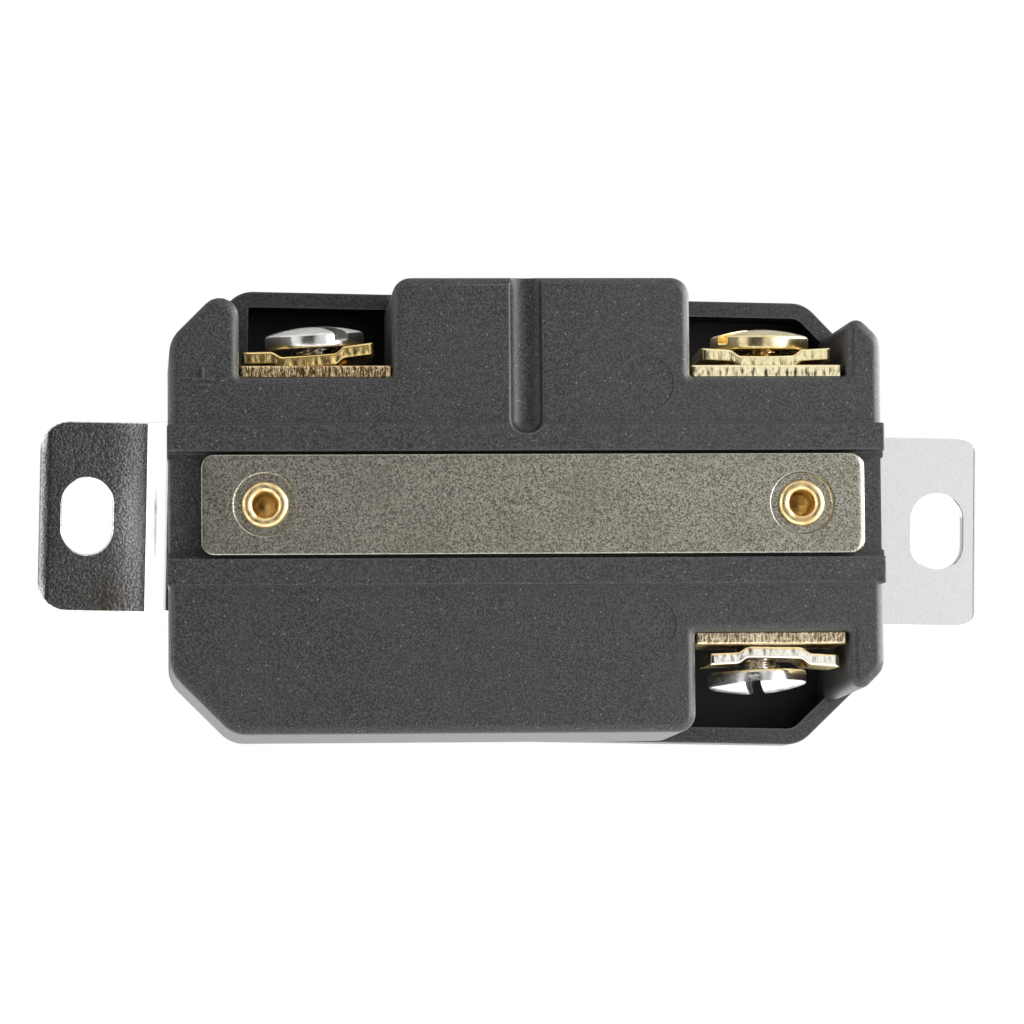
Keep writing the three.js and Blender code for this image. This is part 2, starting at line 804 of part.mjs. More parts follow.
const assembly = new THREE.Group();
assembly.add(
  mesh('face_cover', faceCover(), nylon),
  mesh('front_housing', frontHousing(), nylon),
  mesh('mounting_strap', mountingStrap(), zincSteel),
  mesh('ground_link', groundLink(), brass),
);

const rearStack = new THREE.Group();
rearStack.rotation.y = askew.turn * RAD;
rearStack.position.set(askew.x, 0, askew.z);
rearStack.add(mesh('rear_housing', rearHousing(), nylon));
assembly.add(rearStack);

const tie = mesh('tie_bar', tieBar(), nickelSteel);
tie.position.x = bar.x;
rearStack.add(tie);

for (const [i, side] of ['left', 'right'].entries()) {
  const made = mesh('tie_rivet_' + side, tieRivet(), brass);
  made.position.x = rivetX[i];
  rearStack.add(made);
}

const linkPin = mesh('ground_link_rivet', linkRivet(), brass);
linkPin.position.set(link.rivetX, 0, link.rivetZ);
assembly.add(linkPin);

for (const terminal of terminals) {
  const { name, side, holeShift, lean, tilt, clampLean, clampShift, seat, backedOut, slotTurn } = terminal;

  // The terminal's frame: +Z points out of its pocket. The lower terminal is an upper one turned half
  // round Y.
  const frame = new THREE.Group();
  frame.position.x = terminal.x;
  frame.rotation.y = side > 0 ? 0 : Math.PI;
  frame.add(mesh('terminal_plate_' + name, terminalPlate(terminal), brass));

  // The clamp and the screw both stand over the threaded hole, each at its own small angle.
  const clampStation = new THREE.Group();
  clampStation.position.set(side * holeShift, screw.y, plateOuter);
  clampStation.rotation.y = -clampLean;
  const clampMesh = mesh('clamp_plate_' + name, clampPlate(), brass);
  clampMesh.position.set(side * clampShift, 0, seat);
  clampStation.add(clampMesh);

  const screwStation = new THREE.Group();
  screwStation.position.set(side * holeShift, screw.y, plateOuter);
  screwStation.rotation.set(tilt, -lean, 0);
  const plating = name === 'hot' ? brassScrew : nickelScrew;
  const screwMesh = mesh('terminal_screw_' + name, terminalScrew(slotTurn), plating);
  screwMesh.position.z = seat + clamp.tipLift + clamp.thickness + backedOut;
  screwStation.add(screwMesh);

  frame.add(clampStation, screwStation);
  rearStack.add(frame);

  // The spring clip stands on the blade circle, turned to face the centre.
  const station = new THREE.Group();
  station.rotation.y = -clipAngle[name];
  const clipMesh = mesh('contact_clip_' + name, contactClip(), brass);
  const pinMesh = mesh('contact_rivet_' + name, contactRivet(), brass);
  clipMesh.position.x = blade.circle;
  pinMesh.position.x = blade.circle;
  station.add(clipMesh, pinMesh);
  assembly.add(station);
}

export default assembly;
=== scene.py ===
"""The looks of a strap-mounted locking power receptacle, seen from its wiring side.

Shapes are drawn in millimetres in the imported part's own frame (+X along the strap, +Y out of the mating face,
+Z up) and become metres when their meshes are made.
"""

import math

import bmesh
import bpy
from mathutils import Matrix, Vector, noise


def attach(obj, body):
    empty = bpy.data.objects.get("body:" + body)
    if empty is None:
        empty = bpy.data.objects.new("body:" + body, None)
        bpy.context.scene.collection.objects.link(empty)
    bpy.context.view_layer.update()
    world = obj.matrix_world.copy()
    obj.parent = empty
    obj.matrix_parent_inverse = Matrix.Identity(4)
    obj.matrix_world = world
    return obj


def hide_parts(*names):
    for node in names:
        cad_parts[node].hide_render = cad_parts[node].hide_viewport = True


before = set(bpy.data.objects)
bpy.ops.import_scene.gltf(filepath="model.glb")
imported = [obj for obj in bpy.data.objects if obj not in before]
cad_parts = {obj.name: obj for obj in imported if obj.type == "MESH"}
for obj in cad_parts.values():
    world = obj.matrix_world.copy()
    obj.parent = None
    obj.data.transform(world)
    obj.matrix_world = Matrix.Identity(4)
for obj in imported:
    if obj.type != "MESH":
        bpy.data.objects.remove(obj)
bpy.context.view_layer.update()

MM = 0.001
RAD = math.pi / 180
DEVICE = "device"

# ---------- driving dimensions, in step with the CAD design ----------

# The rear housing, the tie bar and the terminals stand a little askew behind the front pieces.
ASKEW_TURN = -1.3
ASKEW_SHIFT = (-0.6, 0.0, -0.2)
REAR = Matrix.Translation(Vector(ASKEW_SHIFT) * MM) @ Matrix.Rotation(ASKEW_TURN * RAD, 4, "Y")

# Stations along Y, from the mating face to the back.
FACE = 0.0
FACE_UNDERSIDE = -3.0
FLANGE_FRONT = -6.7
EAR_MIDDLE = -7.35
FLANGE_REAR = -8.6
STRAP_MIDDLE = -9.35
STRAP_REAR = -10.0
HOUSING_FRONT = -10.1
TRAY_FLOOR = -11.7
PARTING = -16.6
CAVITY_END = -34.2
CHANNEL_FLOOR = -35.9
BACK = -37.0
RIB_TOP = -37.35
BAR_BACK = -37.5

# Housing outline at the parting line, and the moulding's walls.
HALF_X = 33.1
HALF_Z = 21.3
CHAMFER = 5.9
CORNER = 3.0
DRAFT = 0.35
EDGE = 0.85
WALL = 1.8
TRAY_WALL = 1.5
TRAY_BOSS = 4.0
RIVET_CLEARANCE = 2.2
RIB_Z = (4.2, 7.42)
RIB_START = -20.6
EJECTOR_MARK = dict(radius=2.6, x=11.0, z=11.1)

# Mounting strap.
STRAP_HALF_LENGTH = 46.3
STRAP_HALF_WIDTH = 9.25
STRAP_THICKNESS = 1.3
STRAP_WIDE = (31.0, 19.5)
STRAP_CHAMFER = 6.2
STRAP_WINDOW = 17.2
JOGGLE = (33.5, 35.9)
END_ROLL = 1.1
END_DROP = 0.262
END_STEP = 0.12
DIP = dict(near=35.55, deepest=35.95, far=39.6, deep=0.15, spread=3.4)
SLOT_X = 41.67
SLOT_SIZE = (4.95, 7.4)

# Face boss and blade slots.
BOSS_RADIUS = 20.2
BOSS_WALL = 1.8
BLADE_CIRCLE = 13.0
BLADE_WIDTH = 2.4
BLADE_SPAN = 48.0
BLADE_HOOK = (2.6, 1.7)

# Tie bar and the rivets through the stack.
BAR_X = 0.6
BAR_HALF = (30.5, 4.62)
RIVET_SPACING = 49.3
RIVET_X = (BAR_X - RIVET_SPACING / 2, BAR_X + RIVET_SPACING / 2)
RIVET_RECESS = (2.86, 0.5)
RIVET_HOLE = 2.05

# Terminal stack: heights are measured out from the device's centre plane.
POCKET_FLOOR = 11.8
PLATE_INNER = 11.85
PLATE_THICKNESS = 1.05
PLATE_OUTER = PLATE_INNER + PLATE_THICKNESS
PLATE_BACK = -36.1
PLATE_WEB = -25.2
PLATE_HALF_X = 7.0
CLAMP_HALF = (6.1, 4.3)
CLAMP_TIP = 0.7
CLAMP_CORNER = 0.4
SCREW_Y = -29.0
HEAD_RADIUS = 4.6
THREAD_PITCH = 0.79375

# side is +1 for a pocket in the top and -1 for one in the bottom. The three stand as they were left: lean and
# tilt are the screw's angles, clamp_lean and clamp_shift the clamp's. seat and backed_out are heights,
# slot_turn is the angle of the screw's slot, and angle is where its blade stands on the blade circle.
TERMINALS = {
    "ground": dict(side=1, x=-19.35, hole=0.2, pocket=(-26.4, -12.3), lean=3.1, tilt=5.0, clamp_lean=4.3,
                   clamp_shift=-0.7, seat=0.3, backed_out=0.25, slot_turn=121.5, angle=180),
    "hot": dict(side=1, x=22.25, hole=0.15, pocket=(15.1, 29.6), lean=0.0, tilt=3.0, clamp_lean=0.0,
                clamp_shift=0.2, seat=0.12, backed_out=0.06, slot_turn=35.6, angle=60),
    "neutral": dict(side=-1, x=22.4, hole=-0.7, pocket=(15.3, 29.6), lean=2.4, tilt=2.0, clamp_lean=-1.0,
                    clamp_shift=1.35, seat=0.15, backed_out=0.42, slot_turn=101.5, angle=-60),
}

# Contact clips, their rivets and the ground link.
CLIP = dict(width=9.0, thickness=0.8, base=-24.1, mouth=-9.3, pinch=-13.0, base_half=2.2, pinch_half=0.75,
            mouth_half=2.1)
PIN = dict(shank=1.2, head=1.6, height=0.6)
PIN_HOLE = 1.3
LINK = dict(x=-18.8, low=4.9, high=9.1, thickness=0.8, foot_x=-25.0, rivet_x=-22.3, rivet_z=7.0)


# ---------- where the looks change, and the studio ----------

# The nylon shines more towards the right. Painted shade makes it darkest on the pockets' floors, eased in and
# out along Y.
SHINE_REACH = 30.0
FLOOR_SHADE = ((-15.0, -13.0), (-11.5, -10.5))

# The strap's left ear is dull, with a rust stain near its lower edge and a dark cut end CUT_END deep.
DULL_LEFT = (-37.0, -35.0)
RUST_SPOT = (-39.6, -8.0, -8.0)
CUT_END = 0.24

# The tent: light levels, the two cards' reach in azimuth (degrees right of -Y, with soft ends) and in height,
# and where the side panels begin and end. Heights and sides are parts of a unit direction.
TENT_LIGHT = 1.05
CARD_LIGHT = 0.03
CARD_SHARE = 0.2
CARDS = ((-36.0, -30.0, 2.0, 6.0), (14.0, 18.0, 24.0, 30.0))
CARD_HEIGHT = (0.42, 0.7)
FAR_SIDE = (0.1, 0.6)
FAR_SHARE = 0.6
LEFT_PANEL = 1.3
RIGHT_PANEL = 8.0
LEFT_SIDE = (0.78, 0.97)
RIGHT_SIDE = (0.55, 0.75)
PANEL_HEIGHT = (0.35, 0.75)

CAMERA_PLACE = (-28.9, -466.8, -32.8)
CAMERA_TARGET = (-2.05, -37.0, -0.95)
CAMERA_ROLL = 0.81
LENS = 165.65


# ---------- mesh tools ----------

def make(name, points, faces):
    """An object from points in millimetres and faces, with its normals pointing out."""
    mesh = bpy.data.meshes.new(name)
    mesh.from_pydata([Vector(p) * MM for p in points], [], faces)
    work = bmesh.new()
    work.from_mesh(mesh)
    bmesh.ops.remove_doubles(work, verts=work.verts, dist=1e-7)
    bmesh.ops.recalc_face_normals(work, faces=work.faces)
    work.to_mesh(mesh)
    work.free()
    made = bpy.data.objects.new(name, mesh)
    bpy.context.scene.collection.objects.link(made)
    return made


def loft(name, rings):
    """A closed surface through rings of points, all of one length, capped at both ends."""
    count = len(rings[0])
    points = [p for ring in rings for p in ring]
    faces = []
    for i in range(len(rings) - 1):
        here, there = i * count, (i + 1) * count
        for j in range(count):
            k = (j + 1) % count
            faces.append((here + j, here + k, there + k, there + j))
    faces.append(tuple(range(count)))
    faces.append(tuple(reversed(range(len(points) - count, len(points)))))
    return make(name, points, faces)


def turned_rings(profile, steps=64):
    """Rings about Z for a profile of (radius, height)."""
    spokes = [(math.cos(2 * math.pi * i / steps), math.sin(2 * math.pi * i / steps)) for i in range(steps)]
    return [[(r * u, r * v, h) for u, v in spokes] for r, h in profile]


def lathe(name, profile, x=0.0, z=0.0, steps=64):
    """A profile of (radius, y), from axis to axis, turned about a line along Y through X, Z."""
    rings = turned_rings([(max(r, 1e-3), y) for r, y in profile], steps)
    return loft(name, [[(x + a, y, z + b) for a, b, y in ring] for ring in rings])


def drill(radius, y0, y1, x=0.0, z=0.0, steps=40):
    """A plain round cutter along Y."""
    return lathe("drill", [(0, y0), (radius, y0), (radius, y1), (0, y1)], x, z, steps)


def arc(centre, radius, start, end, steps):
    """Points on an arc, with angles in degrees."""
    angles = [(start + (end - start) * i / steps) * RAD for i in range(steps + 1)]
    return [(centre[0] + radius * math.cos(a), centre[1] + radius * math.sin(a)) for a in angles]


def outline(corners, inset=0.0, draft=0.0, steps=7):
    """A closed anticlockwise outline through corners of (a, b, radius, drafted), pulled in by inset.

    drafted marks the side that leaves a corner as one that moves in by draft as well.
    """
    count = len(corners)
    places = [Vector(c[:2]) for c in corners]
    sides = []
    for i in range(count):
        along = (places[(i + 1) % count] - places[i]).normalized()
        inward = Vector((-along.y, along.x))
        sides.append((places[i] + inward * (inset + (draft if corners[i][3] else 0)), along))
    points = []
    for i in range(count):
        (p, u), (q, v) = sides[i - 1], sides[i]
        cross = u.x * v.y - u.y * v.x
        corner = p + u * (((q - p).x * v.y - (q - p).y * v.x) / cross)
        radius = corners[i][2]
        radius = max(radius - inset, 0.03) if cross > 0 else max(radius + inset, 0.03)
        turn = math.atan2(cross, u.dot(v))
        to_centre = Vector((-u.y, u.x)) * (radius if turn > 0 else -radius)
        start = corner - u * radius * math.tan(abs(turn) / 2)
        for k in range(steps + 1):
            points.append(tuple(start + to_centre + Matrix.Rotation(turn * k / steps, 2) @ -to_centre))
    return points


def corners_of(points, radius=0.0, drafted=False):
    """Outline corners from (a, b) or (a, b, radius) points."""
    return [(p[0], p[1], p[2] if len(p) > 2 else radius, drafted) for p in points]


def rectangle(a0, a1, b0, b1, radius=0.0):
    """Outline corners of a rectangle, whichever way round its limits are given."""
    a0, a1 = sorted((a0, a1))
    b0, b1 = sorted((b0, b1))
    return corners_of([(a0, b0), (a1, b0), (a1, b1), (a0, b1)], radius)


def levels(w0, w1, edge0=0.0, edge1=0.0, draft=0.0, steps=5):
    """Stations of (place, inset, draft) from w0 to w1, with the edges rounded at either end."""
    way = 1 if w1 > w0 else -1
    turns = [90 * RAD * k / steps for k in range(steps + 1)]
    stations = [(w0, 0.0)]
    if edge0:
        stations = [(w0 + way * edge0 * (1 - math.sin(t)), edge0 * (1 - math.cos(t)))
                    for t in reversed(turns)]
    if edge1:
        stations += [(w1 - way * edge1 * (1 - math.sin(t)), edge1 * (1 - math.cos(t))) for t in turns]
    else:
        stations.append((w1, 0.0))
    return [(w, inset, draft * (w - w0) / (w1 - w0)) for w, inset in stations]


AXES = {"X": lambda a, b, w: (w, a, b), "Y": lambda a, b, w: (a, w, b), "Z": lambda a, b, w: (a, b, w)}


def prism(name, corners, stations, axis="Y", steps=7):
    """An outline carried through stations of (place, inset, draft) along an axis."""
    place = AXES[axis]
    return loft(name, [[place(a, b, w) for a, b in outline(corners, inset, draft, steps)]
                       for w, inset, draft in stations])


def slab(name, x, y, z):
    """A plain block, for cutting and joining."""
    return prism(name, rectangle(*x, *z), levels(min(y), max(y)), steps=1)


def apply_modifiers(obj):
    """Turns an object's modifiers into its mesh."""
    graph = bpy.context.evaluated_depsgraph_get()
    mesh = bpy.data.meshes.new_from_object(obj.evaluated_get(graph))
    obj.modifiers.clear()
    old = obj.data
    obj.data = mesh
    bpy.data.meshes.remove(old)


def combine(target, tools, operation="DIFFERENCE"):
    """Cuts, joins or crosses target with each tool in turn, and removes the tools."""
    for tool in tools:
        modifier = target.modifiers.new("boolean", "BOOLEAN")
        modifier.object = tool
        modifier.operation = operation
        modifier.solver = "EXACT"
        apply_modifiers(target)
        bpy.data.objects.remove(tool)
    return target


def cut_loops(work, normal, places):
    """Edge loops across a mesh, at places in millimetres along a unit normal."""
    for place in places:
        whole = work.verts[:] + work.edges[:] + work.faces[:]
        bmesh.ops.bisect_plane(work, geom=whole, plane_co=[c * place * MM for c in normal], plane_no=normal)


def shade(obj, angle=32):
    """Smooth shading broken at real edges."""
    obj.data.shade_smooth()
    obj.data.set_sharp_from_angle(angle=angle * RAD)
    weighted = obj.modifiers.new("weighted", "WEIGHTED_NORMAL")
    weighted.keep_sharp = True
    return obj


def settle(obj, node, material, body=DEVICE):
    """A finished piece stands for a CAD node, wears a material and rides on a body."""
    obj.name = node + "_look"
    obj.data.materials.clear()
    obj.data.materials.append(material)
    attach(obj, body)
    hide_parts(node)
    return obj


# ---------- nylon mouldings ----------

def octagon(inset=0.0):
    """The housing outline's corners, pulled in by inset."""
    x, z = HALF_X - inset, HALF_Z - inset
    cut = CHAMFER - inset * (2 - math.sqrt(2))
    right = [(x - cut, -z), (x, -z + cut), (x, z - cut), (x - cut, z)]
    left = [(-a, b) for a, b in reversed(right)]
    return corners_of(right + left, max(CORNER - inset, 0.5), True)


def rear_outline():
    """The rear housing's outline: the octagon, notched by its three terminal pockets."""
    diagonal = HALF_X + HALF_Z - CHAMFER
    side = HALF_Z - CHAMFER
    foot, shoulder, post, cheek = 0.3, 1.7, 1.0, 2.0
    (g0, g1), (h0, h1), (n0, n1) = (TERMINALS[name]["pocket"] for name in ("ground", "hot", "neutral"))
    return [
        (-HALF_X + CHAMFER, -HALF_Z, CORNER, True),
        (n0, -HALF_Z, shoulder, False),
        (n0, -POCKET_FLOOR, foot, False),
        (n1, -POCKET_FLOOR, foot, False),
        (n1, n1 - diagonal, post, True),
        (HALF_X, -side, cheek, True),
        (HALF_X, side, cheek, True),
        (h1, diagonal - h1, post, False),
        (h1, POCKET_FLOOR, foot, False),
        (h0, POCKET_FLOOR, foot, False),
        (h0, HALF_Z, shoulder, True),
        (g1, HALF_Z, shoulder, False),
        (g1, POCKET_FLOOR, foot, False),
        (g0, POCKET_FLOOR, foot, False),
        (g0, diagonal + g0, 1.75, True),
        (-HALF_X, side, CORNER, True),
        (-HALF_X, -side, CORNER, True),
    ]


def groove_cutter():
    """A round-bottomed trough with rounded lips along Z, closed off round at its lower end."""
    half, deep, lip, low, top = 1.38, 1.1, 0.35, 6.5, 24.0
    section = [(-half - lip, -0.6)] + [(-half - lip + a, lip + b) for a, b in arc((0, 0), lip, -90, 0, 4)]
    section += [(half * a, lip + (deep - lip) * b) for a, b in arc((0, 0), 1.0, 180, 0, 20)[1:-1]]
    section += [(half + lip - a, lip + b) for a, b in arc((0, 0), lip, 0, -90, 4)] + [(half + lip, -0.6)]
    rings = []
    for turn in (4, 15, 30, 45, 60, 75, 90):
        share = math.sin(turn * RAD)
        z = low + half * (1 - math.cos(turn * RAD))
        rings.append([(a * share, BACK + (b * share if b > 0 else b), z) for a, b in section])
    rings.append([(a, BACK + b, top) for a, b in section])
    return loft("groove", rings)


def channel_cutter():
    """The tie bar's channel, with slightly rounded lips and feet, open at both ends."""
    half, lip, foot, reach = 4.9, 0.12, 0.2, HALF_X + 2
    rise = RIB_TOP - CHANNEL_FLOOR
    left = [(-half - lip, rise - 0.5)]
    left += [(-half - lip + a, rise + lip + b) for a, b in arc((0, 0), lip, -90, 0, 3)]
    left += [(-half + foot - a, -foot + b) for a, b in arc((0, 0), foot, 0, 90, 3)]
    section = left + [(-a, b) for a, b in reversed(left)]
    return loft("channel", [[(x, CHANNEL_FLOOR + b, a) for a, b in section] for x in (-reach, reach)])


def pocket_slab(terminal, y, grow=0.0):
    """A terminal's pocket as a block, grown by some wall thickness."""
    x0, x1 = terminal["pocket"]
    side = terminal["side"]
    return slab("pocket", (x0 - grow, x1 + grow), y, (side * (POCKET_FLOOR - grow), side * 40))


def shelf_slab(terminal, y, gap=0.0):
    """The opening in a pocket's shelf that lets the contact's web in, less some gap all round."""
    side, x, x0 = terminal["side"], terminal["x"], terminal["pocket"][0]
    z = (side * (POCKET_FLOOR - WALL - 0.2 + gap), side * (POCKET_FLOOR + 0.07 - gap))
    reach = (x - 7.2, x + 7.05) if x < 0 else (x0 - WALL - 0.2, x + 7.2)
    return slab("shelf", (reach[0] + gap, reach[1] - gap), y, z)


def side_slab(terminal, y):
    """The same opening's way through a right-hand pocket's side wall."""
    side, x0 = terminal["side"], terminal["pocket"][0]
    return slab("side", (x0 - WALL - 0.2, x0 + 0.02), y, (side * 8, side * (PLATE_OUTER + 0.2)))


def bores(radius, y0, y1, place=Matrix()):
    """Clearance bores for the two rivets, as cutters."""
    made = [drill(radius, y0, y1, x) for x in RIVET_X]
    for bore in made:
        bore.data.transform(place)
    return made


def earth_symbol():
    """A raised protective-earth sign beside the ground pocket: a stem over three shrinking bars."""
    x, z, line, tall = -29.7, 11.7, 0.26, 0.24
    strokes = [(0.45, line, 1.0)] + [(-0.1 - 0.56 * k, 2.0 - 0.6 * k, line) for k in range(3)]
    made = []
    for rise, width, height in strokes:
        corners = rectangle(x - width / 2, x + width / 2, z + rise - height / 2, z + rise + height / 2, 0.07)
        made.append(prism("stroke", corners, levels(BACK + 0.2, BACK - tall, 0, 0.08, steps=2), steps=3))
    return made


def rear_housing():
    """The deep moulding, open in front, with ribs and a channel across its back."""
    made = prism("rear_housing", rear_outline(), levels(PARTING, BACK, 0.12, EDGE, DRAFT, 6))
    reach = HALF_X - DRAFT + 0.25
    for side in (-1, 1):
        corners = rectangle(-reach, reach, side * RIB_Z[0], side * RIB_Z[1], 0.25)
        combine(made, [prism("rib", corners, levels(RIB_START, RIB_TOP, 0.2, 0.22))], "UNION")
    combine(made, [channel_cutter(), groove_cutter()])

    # Ejector-pin marks, and the sign beside the ground pocket.
    mark = EJECTOR_MARK
    for z in (-mark["z"], mark["z"]):
        combine(made, [drill(mark["radius"], BACK - 1, BACK + 0.1, mark["x"], z, 64)])
    combine(made, earth_symbol(), "UNION")

    # The hollow inside, the contact openings, and the holes for screws and rivets.
    hollow = prism("hollow", octagon(WALL), levels(CAVITY_END, PARTING + 1), steps=3)
    walls = [pocket_slab(t, (BACK - 3, PARTING + 3), WALL) for t in TERMINALS.values()]
    combine(made, [combine(hollow, walls + bores(TRAY_BOSS, BACK - 3, PARTING + 3))])
    for t in TERMINALS.values():
        way = (PARTING + 1, PLATE_WEB - 0.3)
        combine(made, [shelf_slab(t, way)] + ([side_slab(t, way)] if t["x"] > 0 else []))
        x, side = t["x"] + t["hole"], t["side"]
        turn = turned_rings([(3.3, side * 9.0), (3.3, side * 12.5)], 40)
        combine(made, [loft("hole", [[(x + a, SCREW_Y + b, h) for a, b, h in ring] for ring in turn])])
    combine(made, bores(RIVET_CLEARANCE, BACK - 3, PARTING + 3))
    made.data.transform(REAR)
    return shade(made)


def front_housing():
    """The shallow tray in front of the parting line, with a wall round each pocket and boss."""
    made = prism("front_housing", octagon(), levels(HOUSING_FRONT, PARTING, 0.25, 0.12, steps=3))
    band = (TRAY_FLOOR, PARTING - 1)
    hollow = prism("hollow", octagon(TRAY_WALL), levels(*band), steps=3)
    walls = [pocket_slab(t, (TRAY_FLOOR + 1, PARTING - 2), WALL) for t in TERMINALS.values()]
    stop = slab("stop", (-15.2, -10.5), (TRAY_FLOOR + 1, PARTING - 2), (POCKET_FLOOR - WALL, HALF_Z - 1))
    combine(made, [combine(hollow, walls + [stop] + bores(TRAY_BOSS, TRAY_FLOOR + 1, PARTING - 2))])
    for t in TERMINALS.values():
        well = prism("well", octagon(TRAY_WALL), levels(*band), steps=3)
        combine(made, [combine(well, [pocket_slab(t, (TRAY_FLOOR + 1, PARTING - 2))], "INTERSECT")])
        tongue = shelf_slab(t, (PARTING + 1, PLATE_WEB + PLATE_THICKNESS + 0.2), 0.12)
        tongue.data.transform(REAR)
        combine(made, [tongue], "UNION")

    # Windows for the contact clips and the ground link, and the rivet bores.
    for t in TERMINALS.values():
        reach = (BLADE_CIRCLE - 3.5, BLADE_CIRCLE + 3.5)
        window = slab("window", reach, (HOUSING_FRONT + 4, TRAY_FLOOR - 2.4), (-5.1, 5.1))
        window.data.transform(Matrix.Rotation(-t["angle"] * RAD, 4, "Y"))
        combine(made, [window])
    link_z = (LINK["low"] - 0.3, LINK["high"] + 0.3)
    link_x = (LINK["foot_x"] - 0.3, LINK["x"] + 0.3)
    combine(made, [slab("link_window", link_x, (HOUSING_FRONT + 1, TRAY_FLOOR - 1), link_z)])
    combine(made, bores(RIVET_CLEARANCE, HOUSING_FRONT + 3, PARTING - 3, REAR))
    return shade(made)


def blade_slot_ring(angle, grow, y, hooked):
    """One level of a blade slot, an arc on the blade circle. A hooked one, the ground's, keys the plug."""
    inner = BLADE_CIRCLE - BLADE_WIDTH / 2 - grow
    outer = BLADE_CIRCLE + BLADE_WIDTH / 2 + grow
    spread = BLADE_SPAN / 2 + grow / BLADE_CIRCLE / RAD
    points = arc((0, 0), outer, angle - spread, angle + spread, 16)
    points += arc((0, 0), inner, angle + spread, angle - spread, 16)
    if hooked:
        width, deep = BLADE_HOOK
        end = angle + spread
        back = (width + 2 * grow) / inner / RAD
        tip = inner - deep
        hook = arc((0, 0), tip, end, end - back * inner / tip * 0.98, 3)
        rest = arc((0, 0), inner, end - back, angle - spread, 13)
        points = points[:17] + hook + rest
    return [(a, y, b) for a, b in points]


def face_cover():
    """The hidden front: a round boss with three blade slots, on a flange with a skirt round the strap."""
    edge = 0.9
    profile = [(0, FLANGE_REAR), (BOSS_RADIUS, FLANGE_REAR)]
    profile += [(BOSS_RADIUS - edge + a, FACE - edge + b) for a, b in arc((0, 0), edge, 0, 90, 8)]
    profile.append((0, FACE))
    made = lathe("face_cover", profile, steps=128)
    combine(made, [prism("flange", octagon(0.1), levels(FLANGE_REAR, FLANGE_FRONT, 0.05, 0.5))], "UNION")
    skirt = prism("skirt", octagon(0.1), levels(STRAP_REAR - 0.05, FLANGE_REAR + 0.5))
    half = STRAP_HALF_WIDTH + 0.25
    strap_gap = slab("gap", (-60, 60), (FLANGE_REAR, STRAP_REAR - 1), (-half, half))
    combine(skirt, [prism("inside", octagon(1.5), levels(STRAP_REAR - 1, FLANGE_REAR)), strap_gap])
    combine(made, [skirt], "UNION")
    combine(made, [drill(BOSS_RADIUS - BOSS_WALL, FLANGE_REAR - 1, FACE_UNDERSIDE, steps=96)])
    mouth = [(FACE + 0.1, 0.3), (FACE, 0.22), (FACE - 0.1, 0.08), (FACE - 0.3, 0.0)]
    for name, t in TERMINALS.items():
        rings = [blade_slot_ring(t["angle"], grow, y, name == "ground")
                 for y, grow in mouth + [(FACE_UNDERSIDE - 1, 0.0)]]
        combine(made, [loft("blade_slot", rings)])
    combine(made, bores(RIVET_CLEARANCE, FACE + 3, STRAP_REAR - 3, REAR))
    return shade(made)


# ---------- steel pieces ----------

def ear_dip(x, z):
    """How far the left ear was pulled in beside its bend, most of all next to its slot."""
    rise = min(max((-x - DIP["near"]) / (DIP["deepest"] - DIP["near"]), 0), 1)
    fall = min(max((DIP["far"] + x) / (DIP["far"] - DIP["deepest"]), 0), 1)
    return DIP["deep"] * rise * fall * fall * (0.5 + 0.5 * math.exp(-(z / DIP["spread"]) ** 2))


